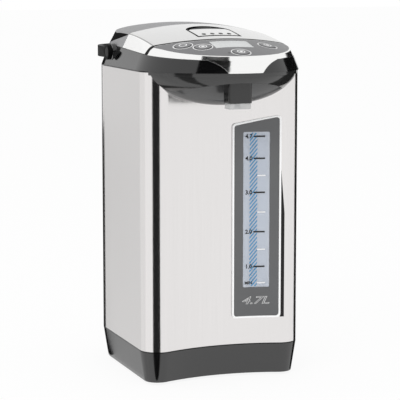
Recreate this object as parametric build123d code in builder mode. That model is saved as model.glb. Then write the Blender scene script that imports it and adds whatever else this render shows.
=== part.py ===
from build123d import *
from math import asin, atan2, cos, degrees, radians, sin, sqrt, tan
import os

os.makedirs("parts", exist_ok=True)

# Overall sizes: front is -Y, right is +X, the feet stand on Z = 0
BODY_WIDTH = 180.0
BODY_DEPTH = 204.0
NOSE_REACH = 60.0
FOOT_HEIGHT = 3.0
BASE_HEIGHT = 33.0
CASING_HEIGHT = 300.0
FIT = 0.3
FACE_GAP = 0.4
RUN_FIT = 0.1

# Casing plan: hollow front, rounded corners
CORNER_FRONT = 20.0
CORNER_BACK = 62.0
FRONT_HOLLOW = 12.0
CASING_WALL = 0.8

# Base
BASE_INSET = 5.0
BASE_WALL = 2.8
LIP_WALL = 2.0
LIP_HEIGHT = 4.0
LIP_ROOT = 3.0
PLATE_THICKNESS = 2.5
FOOT_RADIUS = 9.0
FOOT_SEAT = 1.0
FOOT_SPACING_X = 104.0
FOOT_SPACING_Y = 140.0
BOSS_RADIUS = 6.5
BOSS_EDGE = 1.0
BOSS_HEIGHT = 12.5
BOSS_SPACING_Y = 96.0
SCREW_RADIUS = 1.5
SCREW_LENGTH = 10.0
SCREW_HEAD_RADIUS = 3.0
SCREW_HEAD = 1.5
VENT_LENGTH = 40.0
VENT_WIDTH = 4.0
VENT_PITCH = 9.0
VENT_COUNT = 5

# Collar round the top, with its deck and drafted wall
COLLAR_DRAFT = 7.0
NOSE_DRAFT = 1.0
NOSE_SETBACK = 32.0
COLLAR_WALL = 2.5
DECK_THICKNESS = 2.5
RIM_RISE = 19.3
RIM_TILT = 2.7

# Domed top and its chamfered edge
DOME_RISE = 46.6
CREST_SETBACK = 71.0
DOME_SIDE_RADIUS = 300.0
DOME_LONG_RADIUS = 625.0
DOME_FLAT_HALF = 71.0
DOME_SHOULDER_RADIUS = 14.0
DOME_SHOULDER_ANGLE = 57.0
DOME_FRONT_ANGLE = 30.0
DOME_BACK_ANGLE = 20.0
DOME_DEPTH = 120.0
CHAMFER_SPAN = 44.0
CHAMFER_RUN = 0.5
ZONE_MARGIN = 20.0

# Lid
LID_WALL = 4.0
LID_TRIM_THICKNESS = 1.6
LID_SETBACK = 3.0
LID_ARC_RADIUS = 208.0
LID_GAP = 1.0
TRIM_LENGTH = 94.0
LINER_RISE = 9.0
LINER_HEIGHT = 12.0
LINER_WALL = 1.5
LINER_OVERLAP = 6.0
GASKET_RADIUS = 2.8
LID_POST_RADIUS = 4.0
LID_POST_CIRCLE = 52.0
LID_POST_COUNT = 4
VALVE_RADIUS = 9.0
VALVE_HEIGHT = 6.0

# Lid hinge
KNUCKLE_RADIUS = 4.0
HINGE_PIN_RADIUS = 2.0
HINGE_BACK = 1.5
HINGE_RISE = 5.2
KNUCKLE_HALF = 12.0
KNUCKLE_SIDE = 14.0
KNUCKLE_GAP = 0.4
WEB_HALF = 3.0
WEB_DEPTH = 7.0

# Release lever in its finger recess
RECESS_WIDTH = 50.0
RECESS_FRONT = 13.0
RECESS_LENGTH = 58.0
RECESS_CORNER = 22.0
RECESS_WALL = 2.0
RECESS_DROP = 7.0
LEVER_SIDE_GAP = 0.6
LEVER_FRONT_GAP = 2.4
FINGER_GAP = 9.0
LEVER_THICKNESS = 3.0
LEVER_AXIS_SETBACK = 5.0
LEVER_AXIS_DROP = 5.0
LEVER_BARREL_RADIUS = 3.0
LEVER_PIN_RADIUS = 1.5
HOOK_WIDTH = 12.0
HOOK_THICKNESS = 3.0
HOOK_REACH = 5.0
HOOK_HEIGHT = 3.0
STRIKE_DROP = 12.5
STRIKE_THICKNESS = 2.0
STRIKE_WIDTH = 18.0
DIMPLE_PITCH = 9.6
DIMPLE_COUNT = 4
DIMPLE_RADIUS = 2.2
DIMPLE_DEPTH = 0.6
DIMPLE_SETBACK = 11.0

# Control panel
BEZEL_WALL = 3.2
PANEL_THICKNESS = 1.6
PANEL_MARGIN = 1.6
BULKHEAD_WALL = 2.0
DISPLAY_WIDTH = 42.0
DISPLAY_DEPTH = 22.0
DISPLAY_SETBACK = 43.5
DISPLAY_MODULE_DEPTH = 6.0
DISPLAY_MODULE_MARGIN = 2.0
BUTTON_LENGTH = 17.0
BUTTON_BREADTH = 15.0
BUTTON_RISE = 0.6
BUTTON_GAP = 0.35
BUTTON_TRAVEL = 1.2
BUTTON_FLANGE = 1.1
BUTTON_FLANGE_THICKNESS = 1.0
BUTTON_FLANGE_GAP = 0.5
BUTTON_STEM_RADIUS = 2.0
STEM_CLEARANCE = 1.5
BUTTON_PLACES = {
    "button_reboil": (-50.0, 54.0),
    "button_lock": (-33.0, 40.0),
    "button_dispense": (0.0, 16.0),
    "button_temperature": (41.0, 44.0),
}
BOARD_SETBACK = 36.0
BOARD_DEPTH = 17.0
BOARD_THICKNESS = 1.6
BOARD_REAR_WIDTH = 114.0
BOARD_FRONT_WIDTH = 56.0
BOARD_REAR = 20.5
BOARD_FRONT = 25.0
BOARD_POST_RADIUS = 2.5
BOARD_POST_REAR = (24.0, 14.0)
BOARD_POST_FRONT = (22.0, -20.0)
SWITCH_SIZE = 6.0
SWITCH_HEIGHT = 3.5

# Tongue of the bezel down the collar's front
TONGUE_TOP = 76.0
TONGUE_WAIST = 50.0
TONGUE_FOOT = 38.0
TONGUE_THICKNESS = 1.6

# Spout under the nose
LIP_INSET = 2.0
SPOUT_LIP = 4.0
SPOUT_SETBACK = 2.0
HOOD_INSET = 3.0
HOOD_DROP = 37.0
HOOD_WALL = 2.5
HOOD_ARCH_RISE = 10.5
HOOD_ARCH_RADIUS = 204.0
BOWL_WIDTH = 160.0
BOWL_REACH = 25.0
BOWL_WALL = 2.5
NOZZLE_WIDTH = 26.0
NOZZLE_LENGTH = 20.0
NOZZLE_SETBACK = 15.0
NOZZLE_DROP = 32.0
NOZZLE_WALL = 2.0
NOZZLE_ROUND = 4.0
TIP_DROP = 6.0
TIP_INSET = 0.8

# Water gauge on the front, right of the middle
GAUGE_LEFT = 12.0
GAUGE_WIDTH = 52.0
GAUGE_TOP_DROP = 49.1
GAUGE_TOP_SLANT = 9.4
GAUGE_BOTTOM_DROP = 270.0
GAUGE_BORDER = 1.8
GAUGE_ROUND = 4.0
GAUGE_FRAME_RISE = 2.6
GAUGE_PANEL_RISE = 1.8
GLUE_LINE = 0.3
WINDOW_LEFT = 24.0
WINDOW_WIDTH = 28.5
WINDOW_TOP_DROP = 67.2
WINDOW_BOTTOM_DROP = 236.5
WINDOW_ROUND = 1.5
SCALE_THICKNESS = 1.5
SCALE_MARGIN = 4.0
TUBE_RADIUS = 4.5
TUBE_WALL = 1.0
TUBE_SETBACK = 5.0
TUBE_END_MARGIN = 12.0

# Tank, heater and pump
TANK_GAP = 9.2
TANK_BACK_GAP = 15.0
TANK_WALL = 0.8
HOSE_SPACE = 25.5
TANK_ROUND = 10.0
SHOULDER = 13.0
MOUTH_RISE = 5.0
SEAL_HEIGHT = 3.0
SEAL_WIDTH = 7.0
OUTLET_SETBACK = 17.0
OUTLET_RADIUS = 5.0
OUTLET_LENGTH = 10.0
NIPPLE_LENGTH = 8.0
HEATER_RADIUS = 54.0
HEATER_BORE = 22.0
HEATER_HEIGHT = 7.0
THERMOSTAT_RADIUS = 8.0
THERMOSTAT_HEIGHT = 9.0
MOTOR_RADIUS = 17.0
MOTOR_HEIGHT = 25.0
PUMP_RADIUS = 22.0
PUMP_HEIGHT = 18.0
PUMP_WALL = 2.5
IMPELLER_RADIUS = 17.0
IMPELLER_HUB = 4.0
IMPELLER_DISC = 2.0
IMPELLER_VANES = 6
IMPELLER_VANE = 1.5
SHAFT_RADIUS = 1.5
HOSE_RADIUS = 6.0
HOSE_BORE = 4.0
HOSE_BEND = 8.0
PIPE_BEND = 6.0
PIPE_RADIUS = 4.0
PIPE_BORE = 3.0
PIPE_DROP = 10.0
PIPE_NOTCH = 14.0

# Power inlet and board at the back of the base
INLET_RISE = 20.0
INLET_WIDTH = 30.0
INLET_HEIGHT = 20.0
INLET_DEPTH = 20.0
INLET_WALL = 2.0
INLET_FLANGE = 8.0
INLET_FLANGE_THICKNESS = 2.0
INLET_PIN_PITCH = 7.0
INLET_PIN_COUNT = 3
INLET_PIN_WIDTH = 2.0
INLET_PIN_LENGTH = 12.0
POWER_BOARD_WIDTH = 76.0
POWER_BOARD_DEPTH = 44.0
POWER_BOARD_RISE = 8.0
POWER_BOARD_SETBACK = 55.0
TRANSFORMER_SIZE = 24.0
TRANSFORMER_HEIGHT = 18.0
STANDOFF_RADIUS = 3.0
STANDOFF_INSET = 6.0
CAPACITOR_RADIUS = 8.0
COMPONENT_PITCH = 38.0

# Carrying handle
HANDLE_PIVOT_SETBACK = 81.0
HANDLE_PIVOT_RISE = 15.0
HANDLE_BOSS_RADIUS = 8.5
HANDLE_PAD_RADIUS = 9.5
HANDLE_PAD_CLEAR = 0.5
HANDLE_NEST = 1.6
HANDLE_THICKNESS = 5.0
HANDLE_ARM_HEIGHT = 12.0
HANDLE_GRIP_GAP = 1.0
PIVOT_RADIUS = 3.0
PIVOT_HEAD_RADIUS = 5.5
PIVOT_HEAD = 2.0

# Places worked out from the sizes above
HALF = BODY_WIDTH / 2
HANDLE_REACH = HANDLE_GRIP_GAP + HANDLE_THICKNESS
FRONT_Y = NOSE_REACH - (NOSE_REACH + BODY_DEPTH + HANDLE_REACH) / 2
BACK_Y = FRONT_Y + BODY_DEPTH
NOSE_Y = FRONT_Y - NOSE_REACH
NOSE_START_Y = FRONT_Y + NOSE_SETBACK
SPOUT_Y = FRONT_Y + SPOUT_SETBACK
MIDDLE_Y = (FRONT_Y + BACK_Y) / 2
CASING_Z = FOOT_HEIGHT + BASE_HEIGHT
COLLAR_Z = CASING_Z + CASING_HEIGHT
PLATE_TOP = FOOT_HEIGHT + PLATE_THICKNESS
CREST_Y = BACK_Y - CREST_SETBACK
DOME_AXIS_Z = COLLAR_Z + DOME_RISE - DOME_LONG_RADIUS
LID_FRONT_Y = FRONT_Y + LID_SETBACK
LID_ARC_Y = LID_FRONT_Y + LID_ARC_RADIUS
TRIM_Y = LID_FRONT_Y + TRIM_LENGTH
RIM_BACK_Y = BACK_Y - COLLAR_DRAFT
RIM_SLOPE = sin(radians(RIM_TILT)) / cos(radians(RIM_TILT))
HINGE_Y = RIM_BACK_Y + HINGE_BACK
HINGE_Z = COLLAR_Z + RIM_RISE + RIM_BACK_Y * RIM_SLOPE + HINGE_RISE
RECESS_Y = LID_FRONT_Y + RECESS_FRONT
TANK_RADIUS = HALF - CASING_WALL - TANK_GAP
TANK_Y = BACK_Y - CASING_WALL - TANK_BACK_GAP - TANK_RADIUS
MOUTH_RADIUS = TANK_RADIUS - SHOULDER
TANK_TOP = COLLAR_Z - SEAL_HEIGHT
LINER_RADIUS = MOUTH_RADIUS + LINER_OVERLAP
LINER_Z = COLLAR_Z + LINER_RISE
PUMP_Y = TANK_Y - TANK_RADIUS + OUTLET_SETBACK
PUMP_Z = PLATE_TOP + MOTOR_HEIGHT
TANK_Z = PUMP_Z + PUMP_HEIGHT + HOSE_SPACE
DISPLAY_Y = NOSE_Y + DISPLAY_SETBACK
POWER_BOARD_Y = BACK_Y - POWER_BOARD_SETBACK
HANDLE_PIVOT_Y = BACK_Y - HANDLE_PIVOT_SETBACK
HANDLE_PIVOT_Z = COLLAR_Z + HANDLE_PIVOT_RISE
HANDLE_INNER = HALF - HANDLE_NEST
HANDLE_OUTER = HANDLE_INNER + HANDLE_THICKNESS
NOZZLE_FRONT = NOSE_Y + NOZZLE_SETBACK
NOZZLE_Y = NOZZLE_FRONT + NOZZLE_LENGTH / 2
INLET_Z = CASING_Z + INLET_RISE
TUBE_X = WINDOW_LEFT + WINDOW_WIDTH / 2
WINDOW_TOP = COLLAR_Z - WINDOW_TOP_DROP
WINDOW_BOTTOM = COLLAR_Z - WINDOW_BOTTOM_DROP
PIPE_Z = COLLAR_Z - PIPE_DROP
GAUGE_PLANE = Plane.XZ.offset(-FRONT_Y - FRONT_HOLLOW - NOSE_REACH / 2)
RIM_PLANE = Plane(
    origin=(0, 0, COLLAR_Z + RIM_RISE),
    x_dir=(1, 0, 0),
    z_dir=(0, -sin(radians(RIM_TILT)), cos(radians(RIM_TILT))),
)


def finish(part, name):
    """Name a finished piece and write it out."""
    part.label = name
    export_step(part, "parts/" + name + ".step")


def hollow_radius():
    """Radius of the hollow front, tangent to both front corners."""
    corner_x = HALF - CORNER_FRONT
    return (corner_x**2 + (CORNER_FRONT - FRONT_HOLLOW) ** 2 - CORNER_FRONT**2) / (2 * FRONT_HOLLOW)


def casing_front(x, inset=0.0):
    """Y of the casing's hollow front at a given X."""
    radius = hollow_radius()
    centre_y = FRONT_Y + FRONT_HOLLOW - radius
    return centre_y + sqrt((radius + inset) ** 2 - x**2)


def casing_outline(inset):
    """Face of the casing's plan, drawn in by an inset."""
    corner_x = HALF - CORNER_FRONT
    corner_y = FRONT_Y + CORNER_FRONT
    back_x = HALF - CORNER_BACK
    back_y = BACK_Y - CORNER_BACK
    radius = hollow_radius()
    centre_y = FRONT_Y + FRONT_HOLLOW - radius
    turn = degrees(atan2(corner_y - centre_y, corner_x))
    half = HALF - inset
    with BuildLine() as edges:
        CenterArc((0, centre_y), radius + inset, turn, 180 - 2 * turn)
        CenterArc((corner_x, corner_y), CORNER_FRONT - inset, turn - 180, 180 - turn)
        CenterArc((-corner_x, corner_y), CORNER_FRONT - inset, 180, 180 - turn)
        Line((half, corner_y), (half, back_y))
        Line((-half, corner_y), (-half, back_y))
        CenterArc((back_x, back_y), CORNER_BACK - inset, 0, 90)
        CenterArc((-back_x, back_y), CORNER_BACK - inset, 90, 90)
        Line((back_x, BACK_Y - inset), (-back_x, BACK_Y - inset))
    make_face(edges.edges())


def rim_outline(half, nose_y, back_y, back_corner):
    """Face with an oval nose, straight sides and rounded back corners."""
    back_x = half - back_corner
    rear_y = back_y - back_corner
    with BuildLine() as edges:
        EllipticalCenterArc((0, NOSE_START_Y), half, NOSE_START_Y - nose_y, 180, arc_size=180)
        Line((half, NOSE_START_Y), (half, rear_y))
        Line((-half, NOSE_START_Y), (-half, rear_y))
        CenterArc((back_x, rear_y), back_corner, 0, 90)
        CenterArc((-back_x, rear_y), back_corner, 90, 90)
        Line((back_x, back_y), (-back_x, back_y))
    make_face(edges.edges())


def foot_outline(inset):
    """Plan of the collar where it meets the casing."""
    rim_outline(HALF - inset, NOSE_Y + inset, BACK_Y - inset, CORNER_BACK - inset)


def top_outline(inset):
    """Plan of the collar's upper edge, where the lid and bezel begin."""
    rim_outline(
        HALF - COLLAR_DRAFT - inset, NOSE_Y + NOSE_DRAFT + inset, RIM_BACK_Y - inset, CORNER_BACK - inset
    )


def casing_block(inset, low, high):
    """Upright solid on the casing's plan."""
    with BuildPart() as block:
        with BuildSketch(Plane.XY.offset(low)):
            casing_outline(inset)
        extrude(amount=high - low)
    return block.part


def collar_form(inset):
    """Drafted solid from the casing's top edge to the tilted rim."""
    with BuildPart() as form:
        with BuildSketch(Plane.XY.offset(COLLAR_Z)):
            foot_outline(inset)
        with BuildSketch(RIM_PLANE):
            top_outline(inset)
        loft()
    return form.part


def dome_profile(drop):
    """Cross-section under the domed top, on a plane through the dome's long axis."""
    centre = DOME_LONG_RADIUS - DOME_SIDE_RADIUS
    tilt = degrees(asin(DOME_FLAT_HALF / DOME_SIDE_RADIUS))
    swing = DOME_SIDE_RADIUS - DOME_SHOULDER_RADIUS
    shoulder_x = swing * sin(radians(tilt))
    shoulder_z = centre + swing * cos(radians(tilt))
    shoulder_radius = DOME_SHOULDER_RADIUS - drop
    turn = DOME_SHOULDER_ANGLE - tilt
    low = DOME_LONG_RADIUS - DOME_DEPTH
    with BuildLine() as edges:
        CenterArc((0, centre), DOME_SIDE_RADIUS - drop, 90 - tilt, 2 * tilt)
        right = CenterArc((shoulder_x, shoulder_z), shoulder_radius, 90 - DOME_SHOULDER_ANGLE, turn)
        left = CenterArc((-shoulder_x, shoulder_z), shoulder_radius, 90 + tilt, turn)
        corner = right @ 0
        run = (corner.Y - low) / tan(radians(DOME_SHOULDER_ANGLE))
        Polyline(corner, (corner.X + run, low), (-corner.X - run, low), left @ 1)
    make_face(edges.edges())


def top_form(inset, drop):
    """Solid of the whole top: chamfered edge, cut off by the dome."""
    lean = radians(DOME_FRONT_ANGLE)
    front_plane = Plane(
        origin=(0, CREST_Y, DOME_AXIS_Z), x_dir=(1, 0, 0), z_dir=(0, -cos(lean), -sin(lean))
    )
    with BuildPart() as form:
        with BuildSketch(RIM_PLANE):
            top_outline(inset)
        with BuildSketch(RIM_PLANE.offset(CHAMFER_SPAN)):
            top_outline(inset + CHAMFER_SPAN * CHAMFER_RUN)
        loft()
        with BuildSketch(front_plane):
            dome_profile(drop)
        revolve(
            axis=Axis((0, CREST_Y, DOME_AXIS_Z), (-1, 0, 0)),
            revolution_arc=DOME_FRONT_ANGLE + DOME_BACK_ANGLE,
            mode=Mode.INTERSECT,
        )
    return form.part


def dome_plane(x, y):
    """Plane touching the dome above a given X and Y, facing outward."""
    centre = DOME_LONG_RADIUS - DOME_SIDE_RADIUS
    rise = sqrt(DOME_SIDE_RADIUS**2 - x**2)
    reach = centre + rise
    height = sqrt(reach**2 - (y - CREST_Y) ** 2)
    normal = Vector(x, rise * (y - CREST_Y) / reach, rise * height / reach).normalized()
    side = Vector(normal.Z, 0, -normal.X).normalized()
    return Plane(origin=(x, y, DOME_AXIS_Z + height), x_dir=side, z_dir=normal)


def lid_zone(radius, far_y):
    """Upright solid on one side of the arc between lid and control bezel."""
    half = HALF + ZONE_MARGIN
    edge_y = LID_ARC_Y - sqrt(radius**2 - half**2)
    with BuildPart() as zone:
        with BuildSketch(Plane.XY.offset(COLLAR_Z)):
            with BuildLine() as edges:
                ThreePointArc((-half, edge_y), (0, LID_ARC_Y - radius), (half, edge_y))
                Polyline((half, edge_y), (half, far_y), (-half, far_y), (-half, edge_y))
            make_face(edges.edges())
        extrude(amount=DOME_DEPTH)
    return zone.part


def recess_zone(side_gap, front_gap, rear_gap, low):
    """Upright solid with the D-shaped plan of the lever or its recess."""
    length = RECESS_LENGTH - front_gap - rear_gap
    half = RECESS_WIDTH / 2 - side_gap
    front = RECESS_Y + front_gap
    rear = front + length
    shoulder = rear - RECESS_CORNER
    with BuildPart() as zone:
        with BuildSketch(Plane.XY.offset(low)):
            with BuildLine() as edges:
                Polyline((-half, shoulder), (-half, front), (half, front), (half, shoulder))
                ThreePointArc((-half, shoulder), (0, rear), (half, shoulder))
            make_face(edges.edges())
        extrude(amount=DOME_DEPTH)
    return zone.part


def display_zone(margin):
    """Upright solid on the display window's plan."""
    with BuildPart() as zone:
        with BuildSketch(Plane.XY.offset(COLLAR_Z)):
            with Locations((0, DISPLAY_Y)):
                Rectangle(DISPLAY_WIDTH - 2 * margin, DISPLAY_DEPTH - 2 * margin)
        extrude(amount=DOME_DEPTH)
    return zone.part


def tongue_zone():
    """Solid reaching back through the nose, with the tongue's waisted front view."""
    top_z = COLLAR_Z + RIM_RISE + NOSE_Y * RIM_SLOPE
    middle_z = (COLLAR_Z + top_z) / 2
    with BuildPart() as zone:
        with BuildSketch(Plane.XZ.offset(-NOSE_Y - NOSE_REACH / 2)):
            with BuildLine() as edges:
                right = ThreePointArc(
                    (TONGUE_FOOT / 2, COLLAR_Z), (TONGUE_WAIST / 2, middle_z), (TONGUE_TOP / 2, top_z)
                )
                left = ThreePointArc(
                    (-TONGUE_FOOT / 2, COLLAR_Z), (-TONGUE_WAIST / 2, middle_z), (-TONGUE_TOP / 2, top_z)
                )
                Line(right @ 0, left @ 0)
                Polyline(
                    right @ 1,
                    (TONGUE_TOP / 2, COLLAR_Z + RIM_RISE),
                    (-TONGUE_TOP / 2, COLLAR_Z + RIM_RISE),
                    left @ 1,
                )
            make_face(edges.edges())
        extrude(amount=NOSE_REACH)
    return zone.part


def gauge_outline(margin):
    """Front view of the water gauge, with its slanted top."""
    left = GAUGE_LEFT + margin
    right = GAUGE_LEFT + GAUGE_WIDTH - margin
    top = COLLAR_Z - GAUGE_TOP_DROP - margin
    bottom = COLLAR_Z - GAUGE_BOTTOM_DROP + margin
    with BuildLine() as edges:
        Polyline(
            (left, bottom), (right, bottom), (right, top), (left, top - GAUGE_TOP_SLANT), close=True
        )
    outline = make_face(edges.edges())
    fillet(outline.vertices(), GAUGE_ROUND - margin / 2)


def window_outline(margin):
    """Front view of the gauge's window."""
    height = WINDOW_BOTTOM_DROP - WINDOW_TOP_DROP
    with Locations((TUBE_X, COLLAR_Z - WINDOW_TOP_DROP - height / 2)):
        RectangleRounded(WINDOW_WIDTH - 2 * margin, height - 2 * margin, WINDOW_ROUND)


def handle_outline(half, back_y, corner):
    """Plan of one edge of the handle, from its pivots round the back."""
    with BuildLine() as edges:
        Polyline(
            (half, back_y - corner),
            (half, HANDLE_PIVOT_Y),
            (-half, HANDLE_PIVOT_Y),
            (-half, back_y - corner),
        )
        CenterArc((half - corner, back_y - corner), corner, 0, 90)
        CenterArc((corner - half, back_y - corner), corner, 90, 90)
        Line((half - corner, back_y), (corner - half, back_y))
    make_face(edges.edges())


def ellipsoid(width, reach, drop, centre_y):
    """Ellipsoid hung under the nose, centred at collar height."""
    with BuildPart() as form:
        Sphere(1)
        scale(by=(width / 2, reach, drop))
    return form.part.moved(Location((0, centre_y, COLLAR_Z)))


# Shared forms that several pieces are cut from
casing_solid = casing_block(0, CASING_Z, COLLAR_Z)
gauge_seat = casing_block(-GLUE_LINE, CASING_Z, COLLAR_Z)
top_solid = top_form(0, 0)
lid_side = lid_zone(LID_ARC_RADIUS, BACK_Y + ZONE_MARGIN)
front_side = lid_zone(LID_ARC_RADIUS + LID_GAP, NOSE_Y - ZONE_MARGIN)
TUBE_Y = casing_front(TUBE_X, CASING_WALL) + TUBE_SETBACK + TUBE_RADIUS
BOSS_X = HALF - BASE_INSET - BASE_WALL - FIT - SCREW_HEAD_RADIUS - BOSS_EDGE
lever_place = dome_plane(0, RECESS_Y + LEVER_AXIS_SETBACK)
LEVER_AXIS_Y = RECESS_Y + LEVER_AXIS_SETBACK
LEVER_AXIS_Z = lever_place.origin.Z - LEVER_AXIS_DROP
SCALE_Y = TUBE_Y + TUBE_RADIUS + FIT
RIM_CUT = RIM_PLANE.offset(FACE_GAP)

with BuildPart() as inner_space:
    add(top_form(PANEL_THICKNESS, PANEL_THICKNESS))
    add(collar_form(COLLAR_WALL))

# Base: skirt, plate, feet and screws
with BuildPart() as base_skirt:
    with BuildSketch(Plane.XY.offset(FOOT_HEIGHT)):
        casing_outline(BASE_INSET)
    with BuildSketch(Plane.XY.offset(CASING_Z)):
        casing_outline(0)
    loft()
    with BuildSketch(Plane.XY.offset(FOOT_HEIGHT)):
        casing_outline(BASE_INSET + BASE_WALL)
    with BuildSketch(Plane.XY.offset(CASING_Z)):
        casing_outline(BASE_WALL)
    loft(mode=Mode.SUBTRACT)
    with BuildSketch(Plane.XY.offset(CASING_Z - LIP_ROOT)):
        casing_outline(CASING_WALL + FIT)
    extrude(amount=LIP_ROOT + LIP_HEIGHT)
    with BuildSketch(Plane.XY.offset(CASING_Z - LIP_ROOT)):
        casing_outline(CASING_WALL + FIT + LIP_WALL)
    extrude(amount=LIP_ROOT + LIP_HEIGHT, mode=Mode.SUBTRACT)
    with BuildSketch(Plane.XY.offset(PLATE_TOP)):
        with Locations((0, MIDDLE_Y)):
            with GridLocations(2 * BOSS_X, BOSS_SPACING_Y, 2, 2):
                Circle(BOSS_RADIUS)
    extrude(amount=BOSS_HEIGHT)
    with BuildSketch(Plane.XY.offset(PLATE_TOP)):
        with Locations((0, MIDDLE_Y)):
            with GridLocations(2 * BOSS_X, BOSS_SPACING_Y, 2, 2):
                Circle(SCREW_RADIUS)
    extrude(amount=SCREW_LENGTH, mode=Mode.SUBTRACT)
finish(base_skirt.part, "base_skirt")

with BuildPart() as base_plate:
    with BuildSketch(Plane.XY.offset(FOOT_HEIGHT)):
        casing_outline(BASE_INSET + BASE_WALL + FIT)
        with Locations((0, MIDDLE_Y)):
            with GridLocations(2 * BOSS_X, BOSS_SPACING_Y, 2, 2):
                Circle(SCREW_RADIUS, mode=Mode.SUBTRACT)
            with GridLocations(VENT_PITCH, 0, VENT_COUNT, 1):
                SlotOverall(VENT_LENGTH, VENT_WIDTH, rotation=90, mode=Mode.SUBTRACT)
    extrude(amount=PLATE_THICKNESS)
    with BuildSketch(Plane.XY.offset(FOOT_HEIGHT)):
        with Locations((0, MIDDLE_Y)):
            with GridLocations(FOOT_SPACING_X, FOOT_SPACING_Y, 2, 2):
                Circle(FOOT_RADIUS)
    extrude(amount=FOOT_SEAT, mode=Mode.SUBTRACT)
    with BuildSketch(Plane.XY.offset(FOOT_HEIGHT)):
        with Locations((0, MIDDLE_Y)):
            with GridLocations(2 * BOSS_X, BOSS_SPACING_Y, 2, 2):
                Circle(SCREW_HEAD_RADIUS)
    extrude(amount=SCREW_HEAD, mode=Mode.SUBTRACT)
finish(base_plate.part, "base_plate")

with BuildPart() as rubber_feet:
    with BuildSketch():
        with Locations((0, MIDDLE_Y)):
            with GridLocations(FOOT_SPACING_X, FOOT_SPACING_Y, 2, 2):
                Circle(FOOT_RADIUS)
    extrude(amount=FOOT_HEIGHT + FOOT_SEAT)
finish(rubber_feet.part, "rubber_feet")

with BuildPart() as base_screws:
    with BuildSketch(Plane.XY.offset(FOOT_HEIGHT)):
        with Locations((0, MIDDLE_Y)):
            with GridLocations(2 * BOSS_X, BOSS_SPACING_Y, 2, 2):
                Circle(SCREW_HEAD_RADIUS)
    extrude(amount=SCREW_HEAD)
    with BuildSketch(Plane.XY.offset(FOOT_HEIGHT)):
        with Locations((0, MIDDLE_Y)):
            with GridLocations(2 * BOSS_X, BOSS_SPACING_Y, 2, 2):
                Circle(SCREW_RADIUS)
    extrude(amount=PLATE_THICKNESS + SCREW_LENGTH)
finish(base_screws.part, "base_screws")

# Steel casing with its gauge slot, pipe notch and inlet hole
with BuildPart() as outer_casing:
    add(casing_solid)
    with BuildSketch(Plane.XY.offset(CASING_Z)):
        casing_outline(CASING_WALL)
    extrude(amount=CASING_HEIGHT, mode=Mode.SUBTRACT)
    with BuildSketch(GAUGE_PLANE):
        window_outline(WINDOW_ROUND)
    extrude(amount=NOSE_REACH, mode=Mode.SUBTRACT)
    with BuildSketch(GAUGE_PLANE):
        with Locations((TUBE_X / 2, COLLAR_Z - PIPE_NOTCH / 2)):
            Rectangle(TUBE_X + 2 * PIPE_RADIUS, PIPE_NOTCH)
    extrude(amount=NOSE_REACH, mode=Mode.SUBTRACT)
    with BuildSketch(Plane.XZ.offset(-BACK_Y - INLET_DEPTH)):
        with Locations((0, INLET_Z)):
            Rectangle(INLET_WIDTH + 2 * FIT, INLET_HEIGHT + 2 * FIT)
    extrude(amount=2 * INLET_DEPTH, mode=Mode.SUBTRACT)
finish(outer_casing.part, "outer_casing")

# Collar: drafted wall, deck, casing lip, handle pads and fixed hinge knuckle
with BuildPart() as tongue_skin:
    add(collar_form(0))
    add(collar_form(TONGUE_THICKNESS), mode=Mode.SUBTRACT)
    add(tongue_zone(), mode=Mode.INTERSECT)

with BuildPart() as collar:
    add(collar_form(0))
    add(collar_form(COLLAR_WALL), mode=Mode.SUBTRACT)
    with BuildSketch(Plane.XY.offset(COLLAR_Z)):
        foot_outline(COLLAR_WALL)
    extrude(amount=DECK_THICKNESS)
    with BuildSketch(Plane.XY.offset(COLLAR_Z - LIP_HEIGHT)):
        casing_outline(CASING_WALL + FIT)
    extrude(amount=LIP_HEIGHT)
    with BuildSketch(Plane.XY.offset(COLLAR_Z - LIP_HEIGHT)):
        casing_outline(CASING_WALL + FIT + LIP_WALL)
    extrude(amount=LIP_HEIGHT, mode=Mode.SUBTRACT)
    with BuildSketch(Plane.XY.offset(COLLAR_Z)):
        with Locations((0, TANK_Y)):
            Circle(MOUTH_RADIUS + FIT)
    extrude(amount=DECK_THICKNESS, mode=Mode.SUBTRACT)
    add(tongue_skin.part, mode=Mode.SUBTRACT)
    pad_start = HALF - COLLAR_DRAFT + HANDLE_PAD_CLEAR
    for side in (Plane.YZ, Plane.ZY):
        with BuildSketch(side.offset(pad_start)):
            with Locations(side.to_local_coords(Vector(0, HANDLE_PIVOT_Y, HANDLE_PIVOT_Z))):
                Circle(HANDLE_PAD_RADIUS)
        extrude(amount=HANDLE_INNER - FIT - pad_start)
    with Locations((0, HANDLE_PIVOT_Y, HANDLE_PIVOT_Z)):
        Cylinder(PIVOT_RADIUS, 2 * HANDLE_OUTER, rotation=(0, 90, 0), mode=Mode.SUBTRACT)
    with Locations((0, RIM_BACK_Y - COLLAR_WALL, HINGE_Z)):
        Box(
            2 * KNUCKLE_HALF,
            HINGE_BACK + COLLAR_WALL,
            2 * HINGE_RISE,
            align=(Align.CENTER, Align.MIN, Align.MAX),
        )
    with Locations((0, HINGE_Y, HINGE_Z)):
        Cylinder(KNUCKLE_RADIUS, 2 * KNUCKLE_HALF, rotation=(0, 90, 0))
        Cylinder(HINGE_PIN_RADIUS, 2 * HALF, rotation=(0, 90, 0), mode=Mode.SUBTRACT)
finish(collar.part, "collar")

with BuildPart() as hinge_pin:
    with Locations((0, HINGE_Y, HINGE_Z)):
        Cylinder(HINGE_PIN_RADIUS, 2 * (KNUCKLE_HALF + KNUCKLE_GAP + KNUCKLE_SIDE), rotation=(0, 90, 0))
finish(hinge_pin.part, "hinge_pin")

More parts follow.
